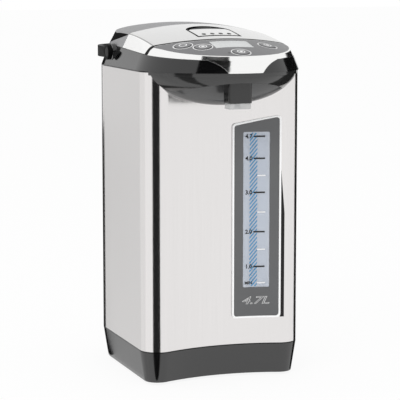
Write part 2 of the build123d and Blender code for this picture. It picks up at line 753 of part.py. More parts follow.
# Spout: hood, bowl, nozzle cover, clear tip and pipe
hood_width = 2 * (HALF - HOOD_INSET)
hood_reach = NOSE_START_Y - NOSE_Y - HOOD_INSET
with BuildPart() as spout_hood:
    add(ellipsoid(hood_width, hood_reach, HOOD_DROP, NOSE_START_Y))
    add(
        ellipsoid(
            hood_width - 2 * HOOD_WALL, hood_reach - HOOD_WALL, HOOD_DROP - HOOD_WALL, NOSE_START_Y
        ),
        mode=Mode.SUBTRACT,
    )
    split(bisect_by=Plane.XY.offset(COLLAR_Z - SPOUT_LIP), keep=Keep.BOTTOM)
    with BuildSketch(Plane.XY.offset(COLLAR_Z - SPOUT_LIP)):
        foot_outline(LIP_INSET)
    extrude(amount=SPOUT_LIP)
    with BuildSketch(Plane.XY.offset(COLLAR_Z - SPOUT_LIP)):
        foot_outline(LIP_INSET + 2 * HOOD_WALL)
    extrude(amount=SPOUT_LIP, mode=Mode.SUBTRACT)
    with Locations((0, FRONT_Y, COLLAR_Z - HOOD_ARCH_RISE - HOOD_ARCH_RADIUS)):
        Cylinder(HOOD_ARCH_RADIUS, 4 * NOSE_REACH, rotation=(90, 0, 0), mode=Mode.SUBTRACT)
    add(casing_solid, mode=Mode.SUBTRACT)
finish(spout_hood.part, "spout_hood")

with BuildPart() as spout_bowl:
    add(ellipsoid(BOWL_WIDTH, BOWL_REACH, HOOD_DROP, SPOUT_Y))
    add(
        ellipsoid(BOWL_WIDTH - 2 * BOWL_WALL, BOWL_REACH - BOWL_WALL, HOOD_DROP - BOWL_WALL, SPOUT_Y),
        mode=Mode.SUBTRACT,
    )
    split(bisect_by=Plane.XY.offset(COLLAR_Z), keep=Keep.BOTTOM)
    add(casing_solid, mode=Mode.SUBTRACT)
    add(spout_hood.part, mode=Mode.SUBTRACT)
    with Locations((0, NOZZLE_Y, PIPE_Z)):
        Cylinder(PIPE_RADIUS + FIT, 2 * NOSE_REACH, rotation=(90, 0, 0), mode=Mode.SUBTRACT)
finish(spout_bowl.part, "spout_bowl")

with BuildPart() as nozzle_cover:
    with BuildSketch(Plane.XY.offset(COLLAR_Z - NOZZLE_DROP)):
        with Locations((0, NOZZLE_Y)):
            RectangleRounded(NOZZLE_WIDTH, NOZZLE_LENGTH, NOZZLE_ROUND)
            RectangleRounded(
                NOZZLE_WIDTH - 2 * NOZZLE_WALL,
                NOZZLE_LENGTH - 2 * NOZZLE_WALL,
                NOZZLE_ROUND - NOZZLE_WALL,
                mode=Mode.SUBTRACT,
            )
    extrude(amount=NOZZLE_DROP)
    with Locations((0, NOZZLE_Y, PIPE_Z)):
        Cylinder(
            PIPE_RADIUS + FIT,
            NOZZLE_LENGTH,
            rotation=(-90, 0, 0),
            align=(Align.CENTER, Align.CENTER, Align.MIN),
            mode=Mode.SUBTRACT,
        )
finish(nozzle_cover.part, "nozzle_cover")

with BuildPart() as nozzle_tip:
    with BuildSketch(Plane.XY.offset(COLLAR_Z - NOZZLE_DROP - TIP_DROP)):
        with Locations((0, NOZZLE_Y)):
            RectangleRounded(NOZZLE_WIDTH - 2 * TIP_INSET, NOZZLE_LENGTH - 2 * TIP_INSET, NOZZLE_ROUND)
            Circle(PIPE_BORE, mode=Mode.SUBTRACT)
    extrude(amount=TIP_DROP)
finish(nozzle_tip.part, "nozzle_tip")

TUBE_TOP = WINDOW_TOP + TUBE_END_MARGIN
TUBE_BOTTOM = WINDOW_BOTTOM - TUBE_END_MARGIN
bowl_front = SPOUT_Y - BOWL_REACH / 2
with BuildPart() as spout_pipe:
    with BuildLine() as pipe_route:
        FilletPolyline(
            (TUBE_X, TUBE_Y, TUBE_TOP),
            (TUBE_X, TUBE_Y, PIPE_Z),
            (0, bowl_front, PIPE_Z),
            (0, NOZZLE_Y, PIPE_Z),
            (0, NOZZLE_Y, COLLAR_Z - NOZZLE_DROP),
            radius=PIPE_BEND,
        )
    with BuildSketch(Plane(origin=pipe_route.line @ 0, z_dir=pipe_route.line % 0)):
        Circle(PIPE_RADIUS)
        Circle(PIPE_BORE, mode=Mode.SUBTRACT)
    sweep()
finish(spout_pipe.part, "spout_pipe")

# Water gauge: frame, panel, window, housing, scale and sight tube
with BuildPart() as gauge_frame:
    with BuildSketch(GAUGE_PLANE):
        gauge_outline(0)
    extrude(amount=NOSE_REACH)
    with BuildSketch(GAUGE_PLANE):
        gauge_outline(GAUGE_BORDER)
    extrude(amount=NOSE_REACH, mode=Mode.SUBTRACT)
    add(casing_block(-GAUGE_FRAME_RISE, CASING_Z, COLLAR_Z), mode=Mode.INTERSECT)
    add(gauge_seat, mode=Mode.SUBTRACT)
finish(gauge_frame.part, "gauge_frame")

with BuildPart() as gauge_panel:
    with BuildSketch(GAUGE_PLANE):
        gauge_outline(GAUGE_BORDER)
    extrude(amount=NOSE_REACH)
    with BuildSketch(GAUGE_PLANE):
        window_outline(0)
    extrude(amount=NOSE_REACH, mode=Mode.SUBTRACT)
    add(casing_block(-GAUGE_PANEL_RISE, CASING_Z, COLLAR_Z), mode=Mode.INTERSECT)
    add(gauge_seat, mode=Mode.SUBTRACT)
finish(gauge_panel.part, "gauge_panel")

with BuildPart() as gauge_window:
    with BuildSketch(GAUGE_PLANE):
        window_outline(0)
    extrude(amount=NOSE_REACH)
    add(casing_block(-GAUGE_PANEL_RISE + FIT, CASING_Z, COLLAR_Z), mode=Mode.INTERSECT)
    add(gauge_seat, mode=Mode.SUBTRACT)
finish(gauge_window.part, "gauge_window")

window_height = WINDOW_TOP - WINDOW_BOTTOM
housing_width = WINDOW_WIDTH + 2 * SCALE_MARGIN
housing_height = window_height + 2 * SCALE_MARGIN
with BuildPart() as gauge_housing:
    with BuildSketch(Plane.XZ.offset(-SCALE_Y - 2 * SCALE_THICKNESS)):
        with Locations((TUBE_X, (WINDOW_TOP + WINDOW_BOTTOM) / 2)):
            Rectangle(housing_width, housing_height)
    extrude(amount=NOSE_REACH)
    with BuildSketch(Plane.XZ.offset(-SCALE_Y - SCALE_THICKNESS)):
        with Locations((TUBE_X, (WINDOW_TOP + WINDOW_BOTTOM) / 2)):
            Rectangle(housing_width - 2 * SCALE_THICKNESS, housing_height - 2 * SCALE_THICKNESS)
    extrude(amount=NOSE_REACH, mode=Mode.SUBTRACT)
    add(casing_block(CASING_WALL, CASING_Z, COLLAR_Z), mode=Mode.INTERSECT)
    with Locations((TUBE_X, TUBE_Y, (WINDOW_TOP + WINDOW_BOTTOM) / 2)):
        Cylinder(TUBE_RADIUS, 2 * housing_height, mode=Mode.SUBTRACT)
finish(gauge_housing.part, "gauge_housing")

with BuildPart() as gauge_scale:
    with Locations((TUBE_X, SCALE_Y, (WINDOW_TOP + WINDOW_BOTTOM) / 2)):
        Box(
            housing_width - 2 * SCALE_THICKNESS,
            SCALE_THICKNESS,
            housing_height - 2 * SCALE_THICKNESS,
            align=(Align.CENTER, Align.MIN, Align.CENTER),
        )
finish(gauge_scale.part, "gauge_scale")

with BuildPart() as sight_tube:
    with BuildSketch(Plane.XY.offset(TUBE_BOTTOM)):
        with Locations((TUBE_X, TUBE_Y)):
            Circle(TUBE_RADIUS)
            Circle(TUBE_RADIUS - TUBE_WALL, mode=Mode.SUBTRACT)
    extrude(amount=TUBE_TOP - TUBE_BOTTOM)
finish(sight_tube.part, "sight_tube")

# Tank, seal, heater and thermostat
tank_plane = Plane(origin=(0, TANK_Y, 0), x_dir=(1, 0, 0), z_dir=(0, -1, 0))
tank_axis = Axis((0, TANK_Y, 0), (0, 0, 1))
mouth_z = COLLAR_Z + MOUTH_RISE
with BuildPart() as inner_tank:
    with BuildSketch(tank_plane):
        with BuildLine():
            Polyline(
                (0, TANK_Z),
                (TANK_RADIUS, TANK_Z),
                (TANK_RADIUS, TANK_TOP),
                (MOUTH_RADIUS, TANK_TOP),
                (MOUTH_RADIUS, mouth_z),
                (0, mouth_z),
                close=True,
            )
        outer_face = make_face()
        fillet(outer_face.vertices().group_by(Axis.Y)[0].sort_by(Axis.X)[-1], TANK_ROUND)
    revolve(axis=tank_axis)
    with Locations((0, PUMP_Y, TANK_Z)):
        Cylinder(OUTLET_RADIUS, 2 * OUTLET_LENGTH)
    with BuildSketch(tank_plane):
        with BuildLine():
            Polyline(
                (0, TANK_Z + TANK_WALL),
                (TANK_RADIUS - TANK_WALL, TANK_Z + TANK_WALL),
                (TANK_RADIUS - TANK_WALL, TANK_TOP - TANK_WALL),
                (MOUTH_RADIUS - TANK_WALL, TANK_TOP - TANK_WALL),
                (MOUTH_RADIUS - TANK_WALL, mouth_z),
                (0, mouth_z),
                close=True,
            )
        inner_face = make_face()
        fillet(inner_face.vertices().group_by(Axis.Y)[0].sort_by(Axis.X)[-1], TANK_ROUND - TANK_WALL)
    revolve(axis=tank_axis, mode=Mode.SUBTRACT)
    with Locations((0, PUMP_Y, TANK_Z)):
        Cylinder(OUTLET_RADIUS - TANK_WALL, 2 * OUTLET_LENGTH, mode=Mode.SUBTRACT)
finish(inner_tank.part, "inner_tank")

with BuildPart() as tank_seal:
    with BuildSketch(Plane.XY.offset(TANK_TOP)):
        with Locations((0, TANK_Y)):
            Circle(MOUTH_RADIUS + FIT + SEAL_WIDTH)
            Circle(MOUTH_RADIUS + FIT, mode=Mode.SUBTRACT)
    extrude(amount=SEAL_HEIGHT)
finish(tank_seal.part, "tank_seal")

with BuildPart() as heater:
    with BuildSketch(Plane.XY.offset(TANK_Z - HEATER_HEIGHT)):
        with Locations((0, TANK_Y)):
            Circle(HEATER_RADIUS)
            Circle(HEATER_BORE, mode=Mode.SUBTRACT)
    extrude(amount=HEATER_HEIGHT)
finish(heater.part, "heater")

with BuildPart() as thermostat:
    with BuildSketch(Plane.XY.offset(TANK_Z - THERMOSTAT_HEIGHT)):
        with Locations((0, TANK_Y)):
            Circle(THERMOSTAT_RADIUS)
    extrude(amount=THERMOSTAT_HEIGHT)
finish(thermostat.part, "thermostat")

# Pump: motor, housing, impeller and hoses
pump_top = PUMP_Z + PUMP_HEIGHT
pump_middle = PUMP_Z + PUMP_HEIGHT / 2
nipple_radius = HOSE_BORE
with BuildPart() as pump_motor:
    with BuildSketch(Plane.XY.offset(PLATE_TOP)):
        with Locations((0, PUMP_Y)):
            Circle(MOTOR_RADIUS)
    extrude(amount=MOTOR_HEIGHT)
    with BuildSketch(Plane.XY.offset(PUMP_Z)):
        with Locations((0, PUMP_Y)):
            Circle(SHAFT_RADIUS + FIT)
    extrude(amount=-MOTOR_HEIGHT / 2, mode=Mode.SUBTRACT)
finish(pump_motor.part, "pump_motor")

with BuildPart() as pump_housing:
    with BuildSketch(Plane.XY.offset(PUMP_Z)):
        with Locations((0, PUMP_Y)):
            Circle(PUMP_RADIUS)
    extrude(amount=PUMP_HEIGHT)
    with BuildSketch(Plane.XY.offset(pump_top)):
        with Locations((0, PUMP_Y)):
            Circle(OUTLET_RADIUS)
    extrude(amount=OUTLET_LENGTH / 2)
    with BuildSketch(Plane.YZ):
        with Locations((PUMP_Y, pump_middle)):
            Circle(nipple_radius)
    extrude(amount=PUMP_RADIUS + NIPPLE_LENGTH)
    with BuildSketch(Plane.XY.offset(PUMP_Z + PUMP_WALL)):
        with Locations((0, PUMP_Y)):
            Circle(PUMP_RADIUS - PUMP_WALL)
    extrude(amount=PUMP_HEIGHT - 2 * PUMP_WALL, mode=Mode.SUBTRACT)
    with BuildSketch(Plane.YZ):
        with Locations((PUMP_Y, pump_middle)):
            Circle(nipple_radius - TUBE_WALL)
    extrude(amount=2 * PUMP_RADIUS, mode=Mode.SUBTRACT)
    with BuildSketch(Plane.XY.offset(pump_middle)):
        with Locations((0, PUMP_Y)):
            Circle(OUTLET_RADIUS - TUBE_WALL)
    extrude(amount=PUMP_HEIGHT, mode=Mode.SUBTRACT)
    with BuildSketch(Plane.XY.offset(PUMP_Z)):
        with Locations((0, PUMP_Y)):
            Circle(SHAFT_RADIUS + FIT)
    extrude(amount=PUMP_WALL, mode=Mode.SUBTRACT)
finish(pump_housing.part, "pump_housing")

impeller_z = PUMP_Z + 2 * PUMP_WALL
vane_height = PUMP_HEIGHT - 4 * PUMP_WALL
vane_reach = IMPELLER_RADIUS - IMPELLER_VANE
with BuildPart() as pump_impeller:
    with BuildSketch(Plane.XY.offset(impeller_z)):
        with Locations((0, PUMP_Y)):
            Circle(IMPELLER_RADIUS)
    extrude(amount=IMPELLER_DISC)
    with BuildSketch(Plane.XY.offset(impeller_z)):
        with Locations((0, PUMP_Y)):
            Circle(IMPELLER_HUB)
            with PolarLocations(vane_reach / 2, IMPELLER_VANES):
                Rectangle(vane_reach, IMPELLER_VANE)
    extrude(amount=vane_height)
    with BuildSketch(Plane.XY.offset(impeller_z)):
        with Locations((0, PUMP_Y)):
            Circle(SHAFT_RADIUS)
    extrude(amount=-2 * PUMP_WALL - MOTOR_HEIGHT / 2 + FIT)
finish(pump_impeller.part, "pump_impeller")

with BuildPart() as inlet_hose:
    with BuildSketch(Plane.XY.offset(pump_top)):
        with Locations((0, PUMP_Y)):
            Circle(OUTLET_RADIUS + HOSE_RADIUS - HOSE_BORE)
            Circle(OUTLET_RADIUS, mode=Mode.SUBTRACT)
    extrude(amount=TANK_Z - pump_top)
finish(inlet_hose.part, "inlet_hose")

with BuildPart() as riser_hose:
    with BuildLine() as riser_route:
        FilletPolyline(
            (PUMP_RADIUS + FIT, PUMP_Y, pump_middle),
            (TUBE_X, PUMP_Y, pump_middle),
            (TUBE_X, TUBE_Y, pump_middle),
            (TUBE_X, TUBE_Y, TUBE_BOTTOM),
            radius=HOSE_BEND,
        )
    with BuildSketch(Plane(origin=riser_route.line @ 0, z_dir=riser_route.line % 0)):
        Circle(HOSE_RADIUS)
        Circle(HOSE_BORE, mode=Mode.SUBTRACT)
    sweep()
finish(riser_hose.part, "riser_hose")

# Power inlet at the back, and the power board on the base plate
with BuildPart() as power_inlet:
    with BuildSketch(Plane.XZ.offset(-BACK_Y)):
        with Locations((0, INLET_Z)):
            Rectangle(INLET_WIDTH, INLET_HEIGHT)
    extrude(amount=INLET_DEPTH)
    with BuildSketch(Plane.XZ.offset(-BACK_Y - INLET_FLANGE_THICKNESS)):
        with Locations((0, INLET_Z)):
            Rectangle(INLET_WIDTH + 2 * INLET_FLANGE, INLET_HEIGHT + INLET_FLANGE)
    extrude(amount=INLET_FLANGE_THICKNESS)
    with BuildSketch(Plane.XZ.offset(-BACK_Y - INLET_FLANGE_THICKNESS)):
        with Locations((0, INLET_Z)):
            Rectangle(INLET_WIDTH - 2 * INLET_WALL, INLET_HEIGHT - 2 * INLET_WALL)
    extrude(amount=INLET_DEPTH + INLET_FLANGE_THICKNESS - INLET_WALL, mode=Mode.SUBTRACT)
    with BuildSketch(Plane.XZ.offset(-BACK_Y + INLET_DEPTH - INLET_WALL)):
        with Locations((0, INLET_Z)):
            with GridLocations(INLET_PIN_PITCH, 0, INLET_PIN_COUNT, 1):
                Rectangle(INLET_PIN_WIDTH, 2 * INLET_PIN_WIDTH)
    extrude(amount=-INLET_PIN_LENGTH)
finish(power_inlet.part, "power_inlet")

with BuildPart() as power_board:
    board_z = PLATE_TOP + POWER_BOARD_RISE
    with BuildSketch(Plane.XY.offset(board_z)):
        with Locations((0, POWER_BOARD_Y)):
            Rectangle(POWER_BOARD_WIDTH, POWER_BOARD_DEPTH)
    extrude(amount=BOARD_THICKNESS)
    with BuildSketch(Plane.XY.offset(PLATE_TOP)):
        with Locations((0, POWER_BOARD_Y)):
            with GridLocations(
                POWER_BOARD_WIDTH - 2 * STANDOFF_INSET, POWER_BOARD_DEPTH - 2 * STANDOFF_INSET, 2, 2
            ):
                Circle(STANDOFF_RADIUS)
    extrude(amount=POWER_BOARD_RISE)
    with BuildSketch(Plane.XY.offset(board_z + BOARD_THICKNESS)):
        with Locations((-COMPONENT_PITCH / 2, POWER_BOARD_Y)):
            Rectangle(TRANSFORMER_SIZE, TRANSFORMER_SIZE)
        with Locations((COMPONENT_PITCH / 2, POWER_BOARD_Y)):
            Circle(CAPACITOR_RADIUS)
    extrude(amount=TRANSFORMER_HEIGHT)
finish(power_board.part, "power_board")

# Control bezel, panel, display and board
with BuildPart() as panel_blank:
    add(top_form(PANEL_MARGIN, 0))
    add(top_form(PANEL_MARGIN, PANEL_THICKNESS), mode=Mode.SUBTRACT)
    add(
        lid_zone(LID_ARC_RADIUS + LID_GAP + PANEL_MARGIN, NOSE_Y - ZONE_MARGIN), mode=Mode.INTERSECT
    )

board_plane = dome_plane(0, NOSE_Y + BOARD_SETBACK).offset(-BOARD_DEPTH)
button_planes = {name: dome_plane(x, NOSE_Y + setback) for name, (x, setback) in BUTTON_PLACES.items()}
board_posts = [
    (side * post[0], post[1]) for side in (-1, 1) for post in (BOARD_POST_REAR, BOARD_POST_FRONT)
]

with BuildPart() as bezel_posts:
    with BuildSketch(board_plane.offset(BOARD_THICKNESS)):
        with Locations(*board_posts):
            Circle(BOARD_POST_RADIUS)
    extrude(amount=2 * BOARD_DEPTH)
    add(inner_space.part, mode=Mode.INTERSECT)

with BuildPart() as bulkhead:
    add(top_form(PANEL_MARGIN, PANEL_THICKNESS))
    add(front_side, mode=Mode.INTERSECT)
    add(
        lid_zone(LID_ARC_RADIUS + LID_GAP + BULKHEAD_WALL, NOSE_Y - ZONE_MARGIN), mode=Mode.SUBTRACT
    )

strike_back = LEVER_AXIS_Y - HOOK_THICKNESS / 2 - FIT
strike_front = LID_FRONT_Y - LID_GAP - BULKHEAD_WALL / 2
with BuildPart() as control_bezel:
    add(top_solid)
    add(top_form(BEZEL_WALL, BEZEL_WALL), mode=Mode.SUBTRACT)
    add(front_side, mode=Mode.INTERSECT)
    add(bulkhead.part)
    add(tongue_skin.part)
    add(panel_blank.part, mode=Mode.SUBTRACT)
    add(bezel_posts.part)
    add(display_zone(DISPLAY_MODULE_MARGIN - FIT), mode=Mode.SUBTRACT)
    for plane in button_planes.values():
        with BuildSketch(plane.offset(BEZEL_WALL)):
            Ellipse(BUTTON_LENGTH / 2 + BUTTON_GAP, BUTTON_BREADTH / 2 + BUTTON_GAP)
        extrude(amount=-3 * BEZEL_WALL, mode=Mode.SUBTRACT)
finish(control_bezel.part, "control_bezel")

with BuildPart() as control_panel:
    add(panel_blank.part)
    add(display_zone(0), mode=Mode.SUBTRACT)
    for plane in button_planes.values():
        with BuildSketch(plane.offset(BEZEL_WALL)):
            Ellipse(BUTTON_LENGTH / 2 + BUTTON_GAP, BUTTON_BREADTH / 2 + BUTTON_GAP)
        extrude(amount=-3 * BEZEL_WALL, mode=Mode.SUBTRACT)
finish(control_panel.part, "control_panel")

with BuildPart() as display_window:
    add(top_solid)
    add(top_form(0, PANEL_THICKNESS), mode=Mode.SUBTRACT)
    add(display_zone(0), mode=Mode.INTERSECT)
finish(display_window.part, "display_window")

with BuildPart() as display_module:
    add(top_form(0, PANEL_THICKNESS + FIT))
    add(top_form(0, PANEL_THICKNESS + FIT + DISPLAY_MODULE_DEPTH), mode=Mode.SUBTRACT)
    add(display_zone(DISPLAY_MODULE_MARGIN), mode=Mode.INTERSECT)
finish(display_module.part, "display_module")

with BuildPart() as control_board:
    with BuildSketch(board_plane):
        with BuildLine():
            Polyline(
                (-BOARD_FRONT_WIDTH / 2, -BOARD_FRONT),
                (BOARD_FRONT_WIDTH / 2, -BOARD_FRONT),
                (BOARD_REAR_WIDTH / 2, BOARD_REAR),
                (-BOARD_REAR_WIDTH / 2, BOARD_REAR),
                close=True,
            )
        make_face()
    extrude(amount=BOARD_THICKNESS)
    for plane in button_planes.values():
        local = board_plane.to_local_coords(plane.origin - plane.z_dir * BOARD_DEPTH)
        with BuildSketch(board_plane.offset(BOARD_THICKNESS)):
            with Locations((local.X, local.Y)):
                Rectangle(SWITCH_SIZE, SWITCH_SIZE)
        extrude(amount=SWITCH_HEIGHT)
finish(control_board.part, "control_board")

# Push buttons, each square to the dome at its own place
flange_drop = BEZEL_WALL + BUTTON_FLANGE_GAP
for name, plane in button_planes.items():
    board_gap = board_plane.to_local_coords(plane.origin).Z / plane.z_dir.dot(board_plane.z_dir)
    stem_drop = board_gap - BOARD_THICKNESS - SWITCH_HEIGHT - BUTTON_TRAVEL - STEM_CLEARANCE
    with BuildPart() as button:
        with BuildSketch(plane.offset(BUTTON_RISE)):
            Ellipse(BUTTON_LENGTH / 2, BUTTON_BREADTH / 2)
        extrude(amount=-BUTTON_RISE - flange_drop)
        with BuildSketch(plane.offset(-flange_drop)):
            Ellipse(BUTTON_LENGTH / 2 + BUTTON_FLANGE, BUTTON_BREADTH / 2 + BUTTON_FLANGE)
        extrude(amount=-BUTTON_FLANGE_THICKNESS)
        with BuildSketch(plane.offset(-flange_drop)):
            Circle(BUTTON_STEM_RADIUS)
        extrude(amount=flange_drop - stem_drop)
    finish(button.part, name)

# Lid: shell with recess tub and hinge knuckles, silver trim, liner, gasket and valve
with BuildPart() as trim_skin:
    add(top_solid)
    add(top_form(LID_TRIM_THICKNESS, LID_TRIM_THICKNESS), mode=Mode.SUBTRACT)
    add(lid_side, mode=Mode.INTERSECT)
    split(bisect_by=Plane.XZ.offset(-TRIM_Y), keep=Keep.TOP)

recess_floor = LEVER_AXIS_Z - RECESS_DROP
recess_hole = recess_zone(0, 0, 0, recess_floor)
post_start = LINER_Z + LINER_WALL
with BuildPart() as lid_posts:
    with BuildSketch(Plane.XY.offset(post_start)):
        with Locations((0, TANK_Y)):
            with PolarLocations(LID_POST_CIRCLE, LID_POST_COUNT, 180 / LID_POST_COUNT):
                Circle(LID_POST_RADIUS)
                Circle(SCREW_RADIUS, mode=Mode.SUBTRACT)
    extrude(amount=DOME_RISE)
    with BuildSketch(Plane.XY.offset(post_start + SCREW_LENGTH)):
        with Locations((0, TANK_Y)):
            with PolarLocations(LID_POST_CIRCLE, LID_POST_COUNT, 180 / LID_POST_COUNT):
                Circle(LID_POST_RADIUS)
    extrude(amount=DOME_RISE)

with BuildPart() as lid_inside:
    add(recess_zone(-RECESS_WALL, -RECESS_WALL, -RECESS_WALL, recess_floor - RECESS_WALL))
    add(lid_posts.part)
    add(inner_space.part, mode=Mode.INTERSECT)

knuckle_x = KNUCKLE_HALF + KNUCKLE_GAP + KNUCKLE_SIDE / 2
with BuildPart() as lid_shell:
    add(top_solid)
    add(top_form(LID_WALL, LID_WALL), mode=Mode.SUBTRACT)
    add(lid_side, mode=Mode.INTERSECT)
    add(trim_skin.part, mode=Mode.SUBTRACT)
    split(bisect_by=RIM_CUT, keep=Keep.TOP)
    add(lid_inside.part)
    add(recess_hole, mode=Mode.SUBTRACT)
    with Locations((0, LEVER_AXIS_Y, recess_floor)):
        Box(HOOK_WIDTH + 2 * FACE_GAP, 2 * RECESS_DROP, 4 * RECESS_WALL, mode=Mode.SUBTRACT)
    with Locations((0, RIM_BACK_Y - COLLAR_WALL - KNUCKLE_GAP, HINGE_Z)):
        Box(
            2 * (KNUCKLE_HALF + KNUCKLE_GAP),
            2 * WEB_DEPTH,
            2 * (KNUCKLE_RADIUS + KNUCKLE_GAP) + HINGE_RISE,
            align=(Align.CENTER, Align.MIN, Align.CENTER),
            mode=Mode.SUBTRACT,
        )
    with Locations((-knuckle_x, HINGE_Y, HINGE_Z), (knuckle_x, HINGE_Y, HINGE_Z)):
        Box(KNUCKLE_SIDE, WEB_DEPTH, 2 * WEB_HALF, align=(Align.CENTER, Align.MAX, Align.CENTER))
        Cylinder(KNUCKLE_RADIUS, KNUCKLE_SIDE, rotation=(0, 90, 0))
    with Locations((0, HINGE_Y, HINGE_Z)):
        Cylinder(HINGE_PIN_RADIUS + RUN_FIT, 2 * HALF, rotation=(0, 90, 0), mode=Mode.SUBTRACT)
    with Locations((0, LEVER_AXIS_Y, LEVER_AXIS_Z)):
        Cylinder(LEVER_PIN_RADIUS, RECESS_WIDTH + 2 * RECESS_WALL, rotation=(0, 90, 0), mode=Mode.SUBTRACT)
finish(lid_shell.part, "lid_shell")

with BuildPart() as lid_trim:
    add(trim_skin.part)
    split(bisect_by=RIM_CUT, keep=Keep.TOP)
    add(recess_hole, mode=Mode.SUBTRACT)
finish(lid_trim.part, "lid_trim")

gasket_z = COLLAR_Z + MOUTH_RISE + FIT + GASKET_RADIUS
with BuildPart() as lid_gasket:
    with Locations((0, TANK_Y, gasket_z)):
        Torus(MOUTH_RADIUS - TANK_WALL / 2, GASKET_RADIUS)
finish(lid_gasket.part, "lid_gasket")

with BuildPart() as lid_liner:
    with BuildSketch(Plane.XY.offset(LINER_Z)):
        with Locations((0, TANK_Y)):
            Circle(LINER_RADIUS)
    extrude(amount=LINER_HEIGHT)
    with BuildSketch(Plane.XY.offset(LINER_Z + LINER_WALL)):
        with Locations((0, TANK_Y)):
            Circle(LINER_RADIUS - LINER_WALL)
    extrude(amount=LINER_HEIGHT, mode=Mode.SUBTRACT)
    with BuildSketch(Plane.XY.offset(LINER_Z)):
        with Locations((0, TANK_Y)):
            Circle(MOUTH_RADIUS - TANK_WALL / 2 + GASKET_RADIUS + LINER_WALL)
            Circle(MOUTH_RADIUS - TANK_WALL / 2 - GASKET_RADIUS - LINER_WALL, mode=Mode.SUBTRACT)
    extrude(amount=2 * LINER_WALL)
    add(lid_gasket.part, mode=Mode.SUBTRACT)
    with BuildSketch(Plane.XY.offset(LINER_Z)):
        with Locations((0, TANK_Y)):
            with PolarLocations(LID_POST_CIRCLE, LID_POST_COUNT, 180 / LID_POST_COUNT):
                Circle(SCREW_RADIUS)
    extrude(amount=LINER_WALL, mode=Mode.SUBTRACT)
finish(lid_liner.part, "lid_liner")

with BuildPart() as lid_screws:
    with BuildSketch(Plane.XY.offset(LINER_Z)):
        with Locations((0, TANK_Y)):
            with PolarLocations(LID_POST_CIRCLE, LID_POST_COUNT, 180 / LID_POST_COUNT):
                Circle(SCREW_RADIUS)
    extrude(amount=LINER_WALL + SCREW_LENGTH)
    with BuildSketch(Plane.XY.offset(LINER_Z)):
        with Locations((0, TANK_Y)):
            with PolarLocations(LID_POST_CIRCLE, LID_POST_COUNT, 180 / LID_POST_COUNT):
                Circle(SCREW_HEAD_RADIUS)
    extrude(amount=-SCREW_HEAD)
finish(lid_screws.part, "lid_screws")

with BuildPart() as steam_valve:
    with BuildSketch(Plane.XY.offset(LINER_Z)):
        with Locations((0, TANK_Y)):
            Circle(VALVE_RADIUS)
    extrude(amount=-VALVE_HEIGHT)
finish(steam_valve.part, "steam_valve")

# Release lever, its pin and the hook under the strike
strike_z = LEVER_AXIS_Z - STRIKE_DROP
hook_top = strike_z - FIT
hook_bottom = hook_top - HOOK_HEIGHT
with BuildPart() as lid_lever:
    add(top_solid)
    add(top_form(0, LEVER_THICKNESS), mode=Mode.SUBTRACT)
    add(recess_zone(LEVER_SIDE_GAP, LEVER_FRONT_GAP, FINGER_GAP, recess_floor), mode=Mode.INTERSECT)
    for step in range(DIMPLE_COUNT):
        dimple_x = (step - (DIMPLE_COUNT - 1) / 2) * DIMPLE_PITCH
        with BuildSketch(dome_plane(dimple_x, RECESS_Y + DIMPLE_SETBACK).offset(LEVER_THICKNESS)):
            Circle(DIMPLE_RADIUS)
        extrude(amount=-LEVER_THICKNESS - DIMPLE_DEPTH, mode=Mode.SUBTRACT)
    with Locations((0, LEVER_AXIS_Y, LEVER_AXIS_Z)):
        Cylinder(LEVER_BARREL_RADIUS, RECESS_WIDTH - 2 * LEVER_SIDE_GAP, rotation=(0, 90, 0))
        Box(
            HOOK_WIDTH,
            HOOK_THICKNESS,
            LEVER_AXIS_Z - hook_bottom,
            align=(Align.CENTER, Align.CENTER, Align.MAX),
        )
    with Locations((0, LEVER_AXIS_Y, hook_bottom)):
        Box(
            HOOK_WIDTH,
            HOOK_THICKNESS / 2 + HOOK_REACH,
            HOOK_HEIGHT,
            align=(Align.CENTER, Align.MAX, Align.MIN),
        )
    with Locations((0, LEVER_AXIS_Y, LEVER_AXIS_Z)):
        Cylinder(LEVER_PIN_RADIUS + RUN_FIT, RECESS_WIDTH, rotation=(0, 90, 0), mode=Mode.SUBTRACT)
finish(lid_lever.part, "lid_lever")

with BuildPart() as lever_pin:
    with Locations((0, LEVER_AXIS_Y, LEVER_AXIS_Z)):
        Cylinder(LEVER_PIN_RADIUS, RECESS_WIDTH + 2 * RECESS_WALL, rotation=(0, 90, 0))
finish(lever_pin.part, "lever_pin")

with BuildPart() as latch_strike:
    with Locations((0, strike_front, strike_z)):
        Box(
            STRIKE_WIDTH,
            strike_back - strike_front,
            STRIKE_THICKNESS,
            align=(Align.CENTER, Align.MIN, Align.MIN),
        )
    add(control_bezel.part, mode=Mode.SUBTRACT)
finish(latch_strike.part, "latch_strike")

# Carrying handle folded down behind the collar, and its two pivots
handle_back = BACK_Y + HANDLE_REACH
grip_inner = BACK_Y + HANDLE_GRIP_GAP

